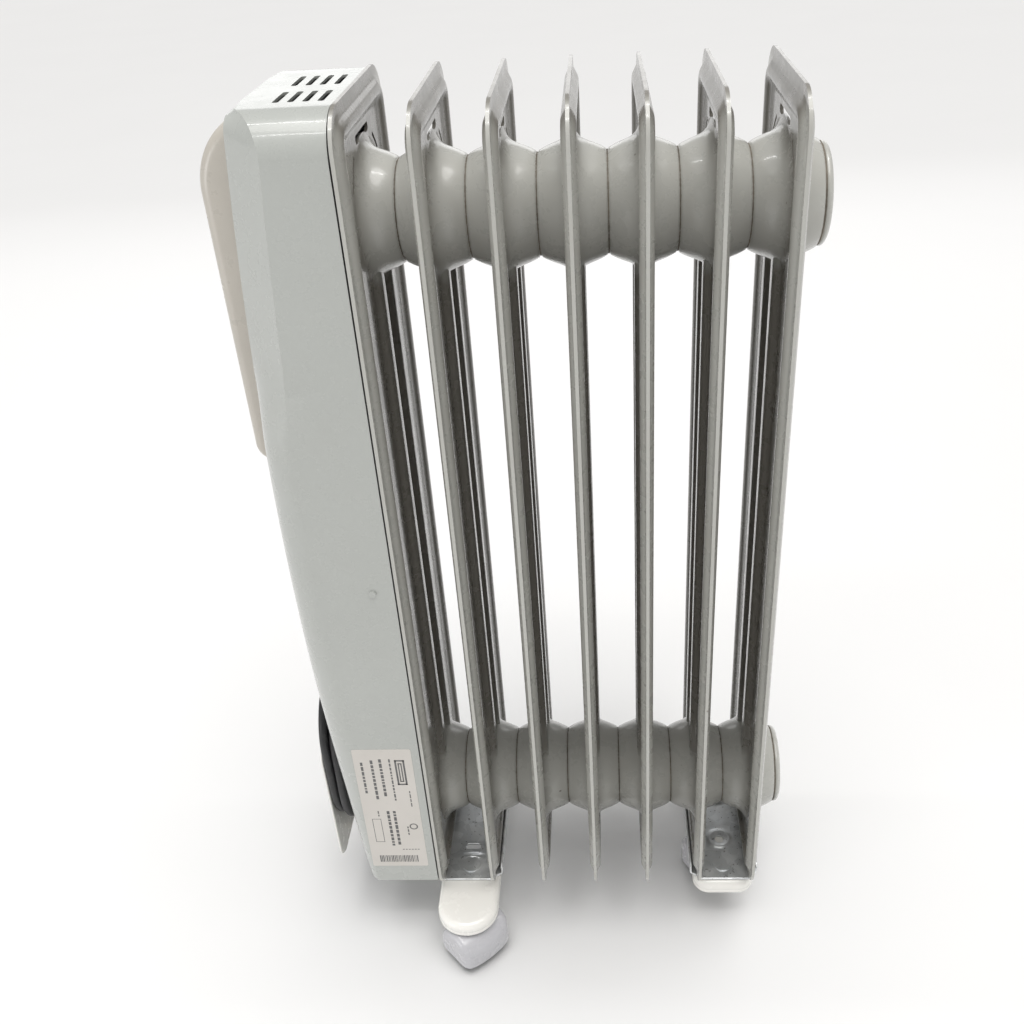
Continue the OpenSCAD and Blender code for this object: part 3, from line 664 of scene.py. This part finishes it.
def fin_half_thickness(y, z):
    """Half thickness of a fin at a point of its face, seen along the stack."""
    inset = -box2(y, z - (BASE_Z + TOP_Z) / 2, FIN_W / 2, FIN_H / 2, FIN_CORNER)
    rim = np.interp(
        inset,
        [0, 0.15, 0.5, 1.1, 4.8, 6.2, 11, 12.4, 14, 15.5, 19, 21, 99],
        [0, 0.50, 0.85, 1.0, 1.0, 1.25, 3.7, 4.0, 4.0, 3.7, 1.35, 1.0, 1.0],
    )
    # two oil channels, one each side of the middle
    past_barrels = np.maximum(np.abs(z - (LOW_Z + HIGH_Z) / 2) - (HIGH_Z - LOW_Z) / 2, 0)
    q = np.hypot(np.abs(y) - 15, past_barrels)
    t = np.clip((10.5 - q) / 6.5, 0, 1)
    channel = 1.0 + 4.4 * t * t * (3 - 2 * t)
    return np.maximum(rim, channel)


def barrel_radius(x):
    """Radius of a header barrel x mm from its fin's middle, with root flare and weld groove."""
    arc_r = (HALF_PITCH**2 + (COLLAR_R - SEAM_R) ** 2) / (2 * (COLLAR_R - SEAM_R))
    r = COLLAR_R - arc_r + math.sqrt(arc_r**2 - x * x)
    flare = 8.5 * math.exp(-max(0.0, x - 0.8) / 2.4)
    groove = 0.9 * max(0.0, 1 - (HALF_PITCH - x) / 1.1)
    return r + flare - groove


def add_painted_shade(plate):
    """Painted shade: darkens the webs between the barrels, where the fins shade each other, and the
    underside of each barrel.
    """
    co = np.empty(len(plate.data.vertices) * 3)
    plate.data.vertices.foreach_get("co", co)
    y, z = co.reshape(-1, 3)[:, 1] / MM, co.reshape(-1, 3)[:, 2] / MM
    zc = np.where(z > (LOW_Z + HIGH_Z) / 2, HIGH_Z, LOW_Z)
    r = np.hypot(y, z - zc)
    # painted shade on the webs between the fins
    web = np.clip((FIN_W / 2 - 7 - np.abs(y)) / 9, 0, 1) * np.clip((r - 34) / 9, 0, 1)
    # painted shade under each barrel, darker towards its bottom
    under = np.clip((zc - z) / 34, 0, 1) * (r < 38)
    dust_and_shade = plate.data.attributes.new("dust_and_shade", "FLOAT", "POINT")
    dust_and_shade.data.foreach_set("value", np.maximum(0.78 * web, 0.05 + 0.25 * under))


def fin_master():
    """One fin at x = 0: a pressed plate from loops at growing insets, slotted, with its barrels."""
    insets = [0, 0.15, 0.5, 1.1, 3, 4.8, 6.2, 7.8, 9.4, 11, 12.4, 14, 15.5, 17.2, 19, 21, 23]
    insets += list(np.arange(25, FIN_W / 2 - 0.5, 2)) + [FIN_W / 2]
    sides = []
    n = 0
    for side in (-1, 1):
        loops = insets if side < 0 else insets[1:]
        rings = []
        for d in loops:
            half_y, half_z = FIN_W / 2 - d, FIN_H / 2 - d
            r = min(max(FIN_CORNER - d, 4 * (1 - 2 * d / FIN_W)), half_y) + 1e-9
            mid = (BASE_Z + TOP_Z) / 2
            loop = rounded_loop((-half_y, mid - half_z), (half_y, mid + half_z), [r] * 4, (12, 84), 10)
            n = len(loop)
            x = side * fin_half_thickness(loop[:, 0], loop[:, 1])
            rings.append(np.column_stack([x, loop]))
        sides.append(rings)
    left = np.concatenate(sides[0])
    right = np.concatenate([sides[0][0]] + sides[1])
    faces = bridge((n, len(sides[0])))
    faces += [tuple(i + len(left) for i in f) for f in bridge((n, len(sides[1]) + 1))]
    plate = mesh_object("fin_master", np.concatenate([left, right]), faces, PAINT_FIN, body=None)
    slots = [slot_loop(0, TOP_Z - 26, 16, 2.4, long_v=False)]
    arc = [math.radians(27 + 26 * k / 10) for k in range(11)]
    edges = [(47.0, a) for a in arc] + [(44.4, a) for a in arc[::-1]]
    for s in (-1, 1):
        slots.append([(s * r * math.cos(a), HIGH_Z + r * math.sin(a)) for r, a in edges])
    boolean(plate, prisms(slots, -12, 12, 0))
    xs = [0.6, 0.9, 1.3, 1.8, 2.4, 3.1, 4, 5, 6.2, 8, 10, 12, 14, 16, 17.4, 18.15, 18.5, 18.9]
    xs.append(HALF_PITCH - 0.02)
    prof = [(0.0, -xs[-1])] + [(barrel_radius(x), -x) for x in reversed(xs)]
    prof += [(barrel_radius(x), x) for x in xs] + [(0.0, xs[-1])]
    for z in (LOW_Z, HIGH_Z):
        points, faces = lathe(prof, BARREL_STEPS)
        barrel = mesh_object("cutter", along_x(points) + (0, 0, z), faces, PAINT_FIN, body=None)
        boolean(plate, barrel, "UNION")
    add_painted_shade(plate)
    plate.data.shade_smooth()
    sharpen(plate, 38)
    return plate


def make_fins():
    master = fin_master()
    for i, x in enumerate(FIN_X, 1):
        mesh = master.data.copy()
        mesh.transform(Matrix.Translation((x * MM, 0, 0)))
        obj = bpy.data.objects.new(f"fin_skin_{i}", mesh)
        scene.collection.objects.link(obj)
        settle(obj, "heater", (f"fin_{i}",))
    bpy.data.objects.remove(master)
    bead_r, turns = 0.75, np.linspace(0, 2 * math.pi, 9)[:-1]
    bead = [(SEAM_R - 1.0 + bead_r * math.cos(t), bead_r * math.sin(t)) for t in turns]
    points, faces = [], []
    for x in [(a + b) / 2 for a, b in zip(FIN_X, FIN_X[1:])] + [FIN_X[-1] + HALF_PITCH]:
        for z in (LOW_Z, HIGH_Z):
            wave = lambda r, h, a: 0.10 * math.sin(a * 61 + x) + 0.08 * math.sin(a * 23)
            ring, _ = lathe(bead, BARREL_STEPS, wave)
            n, base = BARREL_STEPS, sum(len(q) for q in points)
            points.append(along_x(ring) + (x, 0, z))
            for k in range(len(bead)):
                for i in range(n):
                    j, m = (i + 1) % n, (k + 1) % len(bead)
                    corners = (k * n + i, k * n + j, m * n + j, m * n + i)
                    faces.append(tuple(base + v for v in corners))
    mesh_object("weld_seams", np.concatenate(points), faces, WELD, slot="paint")


make_fins()


def make_end_caps():
    out = HALF_PITCH + 4.5
    for name, z in (("end_cap_top", HIGH_Z), ("end_cap_bottom", LOW_Z)):
        x0 = FIN_X[-1]
        prof = [(0.0, HALF_PITCH - 2), (SEAM_R - 1.6, HALF_PITCH - 2), (SEAM_R - 1.0, HALF_PITCH + 0.1)]
        prof += [(SEAM_R - 0.2, HALF_PITCH + 1.0), (SEAM_R - 0.3, HALF_PITCH + 2.4)]
        prof += [(SEAM_R - 1.6, out - 0.8), (SEAM_R - 3.4, out - 0.05), (SEAM_R - 5.5, out - 0.02)]
        prof += [(SEAM_R - 7.5, out - 1.0), (SEAM_R - 9, out - 1.6), (8.0, out - 1.7), (0.0, out - 1.7)]
        points, faces = lathe(smooth_profile(prof, 1.0, 4), 96)
        points = along_x(points) + (x0, 0, z)
        mesh_object(f"{name}_skin", points, faces, PAINT_FIN, replaces=(name,), slot="paint")


make_end_caps()

# ---- Control box ----


def cover_loops():
    """Loops from the back opening, along the walls, round the front edges and in over the front."""
    side, top, low = 20.0, 3.0, 3.0
    runs, steps = (14, 90), 12
    half = BOX_W / 2
    outer = rounded_loop((-half, BOX_Z0), (half, BOX_TOP), [3, 3, 24, 24], runs, steps)
    inner = rounded_loop(
        (-half + side, BOX_Z0 + low), (half - side, BOX_TOP - top), [2, 2, 9, 9], runs, steps
    )
    reach = np.clip(np.abs(inner - outer).max(axis=1), 0, side)
    loops = []

    def add(yz, depth, x=None):
        xs = front_x(yz[:, 1]) + depth if x is None else x
        loops.append(np.column_stack([np.broadcast_to(xs, len(yz)), yz]))

    crisp = np.clip((outer[:, 1] - (BASE_Z + 370)) / 70, 0, 1)
    crisp = (crisp * crisp * (3 - 2 * crisp))[:, None]
    sharp = np.clip((BOX_Z0 + 90 - outer[:, 1]) / 80, 0, 1)
    reach = reach * (1 + 0.12 * crisp[:, 0] - 0.5 * sharp)
    start = front_x(outer[:, 1]) + reach
    hem = BOX_BACK + 2.5
    for f in (0, 0.02, 0.5, 1.0):
        loops.append(np.column_stack([hem + (start - hem) * f, outer]))
    for k in range(1, 13):
        a = math.radians(90 * k / 12)
        u = (1 - math.cos(a)) * (1 - crisp) + (k / 12) * crisp
        d = (1 - math.sin(a)) * (1 - crisp) + (1 - k / 12) * crisp
        add(outer + (inner - outer) * u, (reach[:, None] * d)[:, 0])
    middle = np.column_stack([0 * inner[:, 0], np.clip(inner[:, 1], BOX_Z0 + 50, BOX_TOP - 50)])
    for f in np.linspace(0, 1, 10)[1:]:
        add(inner + (middle - inner) * f, 0)
    return loops


def make_cover():
    loops = cover_loops()
    obj = mesh_object(
        "box_cover", np.concatenate(loops), bridge((len(loops[0]), len(loops))), PAINT,
        replaces=("cover",), slot="paint",
    )
    outward(obj, Vector((BOX_BACK * MM, 0, (BOX_Z0 + BOX_TOP) / 2 * MM)))
    solid = obj.modifiers.new("wall", "SOLIDIFY")
    solid.thickness, solid.offset, solid.use_even_offset = 1.5 * MM, -1, True
    apply_modifiers(obj)
    outward(obj)
    vents = [
        slot_loop(BOX_BACK - 5.2 - k * 7.85, row * 21 - 4, 11.5, 1.7)
        for k in range(4)
        for row in (-1, 1)
    ]
    boolean(obj, prisms(vents, BOX_TOP - 8, BOX_TOP + 5, 2))
    tray = rounded_loop((-32, BASE_Z + 360), (32, BASE_Z + 538), [8] * 4, (4, 4), 8)
    boolean(obj, prisms([tray], BOX_FRONT - 5, BOX_FRONT + 32, 0))
    obj.data.shade_smooth()
    sharpen(obj, 28)
    return obj


make_cover()


def handle_profile(x, z):
    """Side view of the handle: upright front, rounded toe and a crown that slopes up to the box."""
    low, top, crown, slope = BASE_Z + 354, BASE_Z + 563, 44.0, math.radians(24)
    front = HANDLE_FRONT - x
    toe = low - z
    roof = (z - top) * math.cos(slope) - (x - (BOX_FRONT + 22)) * math.sin(slope)
    shape = meet(front, toe, 12)
    # the two upper planes meet at an obtuse angle, so the corner is drawn as an arc
    cx = HANDLE_FRONT + crown
    cz = top - (BOX_FRONT + 22 - cx) * math.tan(slope) - crown / math.cos(slope)
    arc = np.hypot(x - cx, z - cz) - crown
    upper = np.where((x < cx - (z - cz) * math.tan(slope)) & (z > cz), arc, np.maximum(front, roof))
    return np.maximum(shape, upper)


def make_bezel():
    wall, half, tray_half = 3.0, 35.0, 32.0
    tray_low, tray_high, grip = BASE_Z + 360, BASE_Z + 538, BASE_Z + 482
    mid, tall = (tray_low + tray_high) / 2, (tray_high - tray_low) / 2

    def field(x, y, z):
        shape = meet(handle_profile(x, z), np.abs(y) - half, 6)
        shape = np.maximum(shape, x - front_x(z) - 1.2)
        tray = np.maximum(box2(y, z - mid, tray_half - 0.1, tall - 0.1, 8), x - (PANEL_X + wall))
        tray = np.maximum(tray, HANDLE_FRONT + 12 - x)
        shape = np.minimum(shape, tray)
        inner = box2(y, z - mid, tray_half - wall, tall - wall, 5)
        recess = meet(meet(inner, z - grip, 3), x - PANEL_X, 1.5)
        shape = cut(shape, recess, 1.6)
        hollow = meet(np.maximum(handle_profile(x - wall, z + wall), inner), x - PANEL_X, 2)
        hollow = np.maximum(hollow, HANDLE_FRONT + wall - x)
        shape = cut(shape, hollow, 1.0)
        holes = np.hypot(y, z - KNOB_Z) - 4.0
        holes = np.minimum(holes, np.hypot(y, z - LAMP_Z) - 3.2)
        for s in (-1, 1):
            holes = np.minimum(holes, box2(y - s * 12, z - SWITCH_Z, 9, 11, 0.6))
        return np.maximum(shape, -np.maximum(holes, np.abs(x - PANEL_X - 1.5) - 3))

    lo = (HANDLE_FRONT, -half, BASE_Z + 354)
    hi = (BOX_FRONT + 30, half, BASE_Z + 566)
    how = dict(replaces=("front_bezel",), slot="cream")
    return field_mesh("handle_bezel", lo, hi, 0.75, field, CREAM, **how)


make_bezel()


def make_knob():
    lo, hi = box_mm("thermostat_knob")
    radius = float(hi[1])
    x1, x0 = float(hi[0]), float(lo[0])

    def field(x, y, z):
        z = z - KNOB_Z
        r, a = np.hypot(y, z), np.arctan2(z, y)
        skirt = meet(meet(r - radius + 0.3, x - x1, 0.5), x1 - 3 - x, 1.0)
        flutes = 0.45 * np.cos(a * 28) * np.clip((r - 6) / 4, 0, 1)
        drum = meet(meet(r - (radius - 2.2) - flutes, x0 + 3.2 - x, 1.6), x - x1, 0.3)
        bar = meet(meet(np.abs(y) - 2.9, np.abs(z) - radius + 3.2, 2.0), x0 + 0.1 - x, 1.2)
        bar = np.maximum(bar, x - x1)
        pointer = np.maximum(np.maximum(np.abs(y) - 0.6, np.abs(z - radius + 8) - 3.6), x - x0 - 0.7)
        return np.maximum(join(join(skirt, drum, 0.8), bar, 1.2), -pointer)

    how = dict(body="knob", replaces=("thermostat_knob",), slot="cream")
    return field_mesh("knob", lo, hi, 0.4, field, KNOB, **how)


make_knob()


def plate_boxes(boxes):
    """Points and faces of many small boxes given as (low, high)."""
    points, faces = [], []
    for lo, hi in boxes:
        base = len(points)
        points += [(x, y, z) for x in (lo[0], hi[0]) for y in (lo[1], hi[1]) for z in (lo[2], hi[2])]
        for f in ((0, 1, 3, 2), (4, 6, 7, 5), (0, 4, 5, 1), (2, 3, 7, 6), (0, 2, 6, 4), (1, 5, 7, 3)):
            faces.append(tuple(base + v for v in f))
    return points, faces


def make_dial_marks():
    """A ring of graduated dashes round the knob, and a bar beside each switch."""
    boxes, spin = [], []
    for k in range(11):
        a = math.radians(-45 + 27 * k)
        size = 0.5 + 0.09 * k
        boxes.append(((PANEL_X - 0.12, -size / 2, 20.5), (PANEL_X + 0.3, size / 2, 23.0 + 0.12 * k)))
        spin.append(a - math.radians(90))
    points, faces = plate_boxes(boxes)
    points = np.array(points)
    for k, a in enumerate(spin):
        p = points[8 * k : 8 * k + 8]
        y, z = p[:, 1].copy(), p[:, 2].copy()
        p[:, 1], p[:, 2] = y * math.cos(a) - z * math.sin(a), y * math.sin(a) + z * math.cos(a)
    points[:, 2] += KNOB_Z
    bars = []
    for y in (-12, 12):
        bars.append(
            ((PANEL_X - 0.12, y - 3, SWITCH_Z - 16), (PANEL_X + 0.3, y + 3, SWITCH_Z - 15.2))
        )
    bar_points, bar_faces = plate_boxes(bars)
    faces += [tuple(v + len(points) for v in f) for f in bar_faces]
    points = np.concatenate([points, bar_points])
    mesh_object("dial_marks", points, faces, PRINT, slot="dark_plastic", smooth=False)


make_dial_marks()


def make_hook():
    lo, hi = box_mm("cord_hook")
    plate_x = float(lo[0]) + 1.9
    face_z = BASE_Z + 59

    def field(x, y, z):
        plate = box2(y, z - face_z, 42, 59, 14)
        dish = 0.9 * np.clip(1 - ((y / 42) ** 2 + ((z - face_z) / 59) ** 2), 0, 1)
        plate = meet(meet(plate, plate_x - 1.9 + 0.4 - dish * 0.4 - x, 0.7), x - plate_x, 0.7)
        post = slot2(y, z - COIL_Z, STRAIGHT, TURN_R - CORD_D / 2 - 0.7)
        post = np.maximum(np.maximum(post, -post - 3), x - front_x(z) - 0.8)
        post = np.maximum(post, plate_x - 1 - x)
        rib = np.maximum(np.abs(y) - 1.0, np.abs(z - COIL_Z) - STRAIGHT - 18)
        rib = np.maximum(rib, np.maximum(plate_x - 1 - x, x - plate_x - 5))
        return join(np.minimum(join(plate, post, 1.5), rib), plate, 0.01)

    how = dict(replaces=("cord_hook",), slot="cream")
    return field_mesh("cord_wrap_hook", lo, hi, 0.65, field, WHITE, **how)


make_hook()


def make_label():
    lo, hi = box_mm("rating_label")
    y = float(lo[1])
    x0, z0, w, h = float(lo[0]), float(lo[2]) + 4, float(hi[0] - lo[0]), float(hi[2] - lo[2])
    loop = rounded_loop((x0, z0), (x0 + w, z0 + h), [1.5] * 4, (6, 12), 5)
    front = np.column_stack([loop[:, 0], np.full(len(loop), y + 0.02), loop[:, 1]])
    back = front + (0, 0.35, 0)
    n = len(loop)
    faces = [tuple(range(n)), tuple(range(n, 2 * n))]
    faces += [(i, (i + 1) % n, n + (i + 1) % n, n + i) for i in range(n)]
    points = np.concatenate([front, back])
    how = dict(slot="label", smooth=False)
    mesh_object("label_plate", points, faces, LABEL, replaces=("rating_label",), **how)
    boxes = []

    def bar(u0, u1, v0, v1):
        boxes.append(((x0 + u0, y, z0 + v0), (x0 + u1, y + 0.1, z0 + v1)))

    def frame_mark(u0, u1, v0, v1, t):
        for v in (v0, v1 - t):
            bar(u0, u1, v, v + t)
        for u in (u0, u1 - t):
            bar(u, u + t, v0, v1)

    # columns of plain dashes in place of lettering: offset, from, to, stroke
    rng = np.random.default_rng(7)
    columns = (
        (4.5, 76, 106, 1.7), (11.5, 70, 108, 1.9), (17.5, 72, 109, 2.0), (24.5, 66, 109, 1.2),
        (35.5, 60, 78, 0.8), (17, 22, 58, 2.0), (21.5, 22, 58, 2.0), (30, 32, 42, 1.0),
        (10.5, 52, 58, 0.9),
    )
    for u, v0, v1, stroke in columns:
        v = float(v1)
        while v > v0 + 2:
            length = min(float(rng.uniform(1.6, 4.2)), v - v0)
            bar(u, u + stroke, v - length, v)
            v -= length + 0.9
    frame_mark(28.5, 35.5, 84, 108, 1.3)
    frame_mark(30.6, 33.4, 87, 105, 0.9)
    frame_mark(5.5, 12, 26, 50, 0.4)
    for k in range(20):
        a = 2 * math.pi * k / 20
        cu, cv = 36 + 2.6 * math.cos(a) - 1.2, 42 + 2.6 * math.sin(a)
        bar(cu - 0.45, cu + 0.45, cv - 0.45, cv + 0.45)
    for k in range(6):
        bar(24 + k * 2.2, 25.4 + k * 2.2, 17.6, 18.3)
    u = 6.0
    while u < w - 7:
        t = float(rng.uniform(0.35, 0.9))
        bar(u, u + t, 4.5, 11.5)
        u += t + float(rng.uniform(0.3, 0.7))
    points, faces = plate_boxes(boxes)
    mesh_object("label_marks", points, faces, PRINT, **how)


make_label()

# ---- Feet ----


def make_channels():
    lo0, hi0 = box_mm("foot_channel_left")
    half, length, web_t, tall = float(hi0[0] - lo0[0]) / 2, float(hi0[1]), 1.5, 12.0
    z0 = BASE_Z - web_t
    for side in ("left", "right"):
        cx = FOOT_X[side]

        def field(x, y, z):
            x = x - cx
            lift = np.zeros(np.broadcast_shapes(x.shape, y.shape))
            for s in (-1, 1):
                if side == "right":
                    lift = lift + 0.9 * np.exp(-(((np.hypot(x, y - s * 22) - 7.5) / 1.8) ** 2))
                else:
                    lift = lift + 1.5 * np.exp(-((x / 7) ** 2) - (((y - s * 38) / 2.6) ** 2))
            zz = z - z0 - lift
            outer = box2(x, zz - 30, half, 30, 3.0)
            inner = box2(x, zz - 30 - web_t, half - web_t, 30, 1.6)
            shape = meet(np.maximum(outer, -inner), np.abs(y) - length, 0.4)
            top = tall - 6 * np.clip((np.abs(y) - (length - 9)) / 9, 0, 1) ** 2
            shape = meet(shape, zz - top, 0.4)
            for s in (-1, 1):
                if side == "right":
                    hole = np.hypot(x, y - s * 22) - 3.4
                else:
                    hole = slot2(y - s * 28, x, 3.4, 2.4)
                shape = np.maximum(shape, -np.maximum(hole, zz - 6))
                notch = np.hypot(np.abs(x) - half, y - s * (length + 1)) - 6.5
                shape = np.maximum(shape, -np.maximum(notch, np.abs(zz - 3) - 6))
                small = np.hypot(zz - 7.5, y - s * 40) - 1.8
                shape = np.maximum(shape, -np.maximum(small, half - 4 - np.abs(x)))
                rivet = np.hypot(x, y - s * PIVOT_Y) - 5.0
                shape = np.maximum(shape, -np.maximum(rivet, zz - 6))
            return shape

        lo, hi = box_mm(f"foot_channel_{side}")
        how = dict(replaces=(f"foot_channel_{side}",), slot="galvanised")
        field_mesh(f"foot_rail_{side}", lo, hi, 0.5, field, ZINC, **how)


make_channels()


def turned(points, x, y, degrees):
    a = math.radians(degrees)
    out = points.copy()
    out[:, 0] = x + points[:, 0] * math.cos(a) - points[:, 1] * math.sin(a)
    out[:, 1] = y + points[:, 0] * math.sin(a) + points[:, 1] * math.cos(a)
    return out


def arm_field(x, y, z, low, top):
    half, front, tail = 22.5, 55.0, 17.0
    mid, tall = (tail - front) / 2, (tail + front) / 2
    r = np.where(y < mid, half - 0.01, 12.0)
    qx, qy = np.abs(x) - half + r, np.abs(y - mid) - tall + r
    plan = np.minimum(np.maximum(qx, qy), 0) + np.hypot(np.maximum(qx, 0), np.maximum(qy, 0)) - r
    crown = 0.8 * np.clip((plan + 14) / 14, 0, 1) ** 2
    shape = meet(plan, z - top + crown, 4.2)
    shape = meet(shape, low - z, 1.0)
    groove = np.maximum(np.abs(z - low - 3.4) - 0.35, -plan - 0.5)
    shape = np.maximum(shape, -groove)
    # well under the pivot rivet and the stem's socket, open below
    well = np.hypot(x, y) - 7.8
    return np.maximum(shape, -np.maximum(well, z - low - 0.5))


def hood_field(x, y, z, top):
    def body(grow):
        drum = np.hypot(y + TRAIL, z - WHEEL_R) - 19 - grow
        plan = np.hypot(x, y - (39 - TRAIL - 19)) - 39 - grow
        r = 4.5 + grow
        return meet(meet(drum, np.abs(x) - 21.5 - grow, max(r, 1.0)), plan, max(r, 1.0))

    collar = meet(np.hypot(x, y) - 8, z - top, 0.8)
    collar = np.maximum(collar, 20 - z)
    shape = join(body(0), collar, 1.5)
    shape = np.maximum(shape, -body(-2.0))
    return np.maximum(meet(shape, 8 - z, 0.6), z - top)


def wheel_points(width):
    """A roller with a rounded tread, a centre groove and dished ends round a hub."""
    w, r = width / 2, WHEEL_R
    half = [(2.6, w), (5.2, w), (5.6, w - 2.6), (r - 4.6, w - 2.6), (r - 4.0, w - 0.2)]
    half += [(r - 1.2, w - 0.1), (r - 0.05, w - 1.6), (r, w - 5), (r, 1.4), (r - 0.8, 0.6)]
    prof = half + [(a, -b) for a, b in reversed(half)]
    prof = smooth_profile(prof, 0.5, 3)
    prof = prof + [prof[0]]
    n = 96
    points, faces = lathe(prof[:-1], n)
    m = len(prof) - 1
    faces = [f for f in faces if len(f) == 4]
    faces += [((m - 1) * n + i, (m - 1) * n + (i + 1) % n, (i + 1) % n, i) for i in range(n)]
    return points, faces


def make_castors():
    arm_lo, arm_hi = box_mm("arm_near_left")
    low, top = float(arm_lo[2]), float(arm_hi[2])
    hood_top = float(box_mm("hood_near_left")[1][2])
    for corner, (sign, arm_turn, castor_turn) in CORNERS.items():
        px, py = FOOT_X[corner.split("_")[1]], sign * PIVOT_Y
        a = math.radians(arm_turn)
        sx, sy = px + STEM_OFFSET * math.sin(a), py - STEM_OFFSET * math.cos(a)
        field_mesh(
            f"arm_shell_{corner}", (-22.5, -55, low), (22.5, 17, top), 0.55,
            lambda x, y, z: arm_field(x, y, z, low, top), WHITE,
            move=lambda p: turned(p, px, py, arm_turn), body=f"arm_{corner}_body",
            replaces=(f"arm_{corner}",), slot="cream",
        )
        field_mesh(
            f"castor_hood_{corner}", (-21.5, -27, 8), (21.5, 12, hood_top), 0.55,
            lambda x, y, z: hood_field(x, y, z, hood_top), HOOD,
            move=lambda p: turned(p, sx, sy, castor_turn), body=f"castor_{corner}",
            replaces=(f"hood_{corner}",), slot="hood_grey",
        )
        points, faces = wheel_points(WHEEL_W)
        points = along_x(points) + (0, -AXLE_BACK, WHEEL_R)
        mesh_object(
            f"roller_tyre_{corner}", turned(points, sx, sy, castor_turn), faces, ROLLER,
            body=f"roller_{corner}", replaces=(f"wheel_{corner}",), slot="roller",
        )


make_castors()

# ---- CAD nodes that stay, with better materials ----

KEPT = {
    PLATE: ("inner_plate", "element_flange", "thermal_cutout"),
    ZINC: ("arm_rivets",),
    STEEL: ("plate_studs", "element_bolts", "thermostat_shaft"),
    PAINT_FIN: ("inner_cap_top",),
    ELEMENT: ("heating_element",),
    GASKET: ("element_gasket",),
    BLACK: ("thermostat_body", "switch_housing", "rocker_1", "rocker_2"),
    PAINT: ("cover_screws",),
    LAMP: ("pilot_lamp",),
    CERAMIC: ("terminal_block",),
    WIRE: ("internal_wires",),
    BRASS: ("plug_blades",),
}
for material, names in KEPT.items():
    for name in names:
        for material_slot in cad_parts[name].material_slots:
            material_slot.material = material
for corner in CORNERS:
    for name in (f"stem_{corner}", f"axle_{corner}"):
        for material_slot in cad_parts[name].material_slots:
            material_slot.material = STEEL

# ---- Floor and light ----


def make_floor():
    s = Shader("floor_pale")
    fleck = s.noise(3, 3, 0.5)
    color = s.mix(s.ramp(fleck, [(0.3, 0.0), (0.8, 1.0)]), (0.81, 0.81, 0.81), (0.80, 0.80, 0.80))
    mat = s.done(color, 0.7)
    pts = [(-60000, -60000, 0), (60000, -60000, 0), (60000, 60000, 0), (-60000, 60000, 0)]
    floor = mesh_object("floor", pts, [(0, 1, 2, 3)], mat, body=None, smooth=False)


def area_light(name, place, target, size, power):
    data = bpy.data.lights.new(name, "AREA")
    data.shape, data.energy = "RECTANGLE", power
    data.size, data.size_y = size
    obj = bpy.data.objects.new(name, data)
    scene.collection.objects.link(obj)
    obj.location = place
    obj.rotation_euler = (Vector(target) - Vector(place)).to_track_quat("-Z", "Y").to_euler()


make_floor()
world = bpy.data.worlds.new("studio")
world.use_nodes = True
world.node_tree.nodes["Background"].inputs[0].default_value = (1.0, 1.0, 1.0, 1)
world.node_tree.nodes["Background"].inputs[1].default_value = 0.42
scene.world = world
sun_data = bpy.data.lights.new("overhead", "SUN")
sun_data.energy, sun_data.angle, sun_data.color = 2.1, math.radians(50), (1, 0.985, 0.965)
sun = bpy.data.objects.new("overhead", sun_data)
scene.collection.objects.link(sun)
sun.rotation_euler = Vector((-0.12, 0.12, -1.0)).to_track_quat("-Z", "Y").to_euler()
area_light("window", (-0.2, 1.9, 0.97), (-0.05, 0, 0.6), (2.8, 0.6), 5.5)
area_light("fill", (-1.7, -1.3, 0.45), (-0.1, 0, 0.1), (0.8, 0.8), 7)
area_light("tube_near", (-0.1, -0.75, 2.0), (-0.1, -0.4, 0.3), (1.5, 0.05), 4)
area_light("tube_far", (-0.1, 0.1, 2.1), (-0.1, 0.0, 0.3), (1.5, 0.05), 4)
scene.view_settings.view_transform = "Standard"
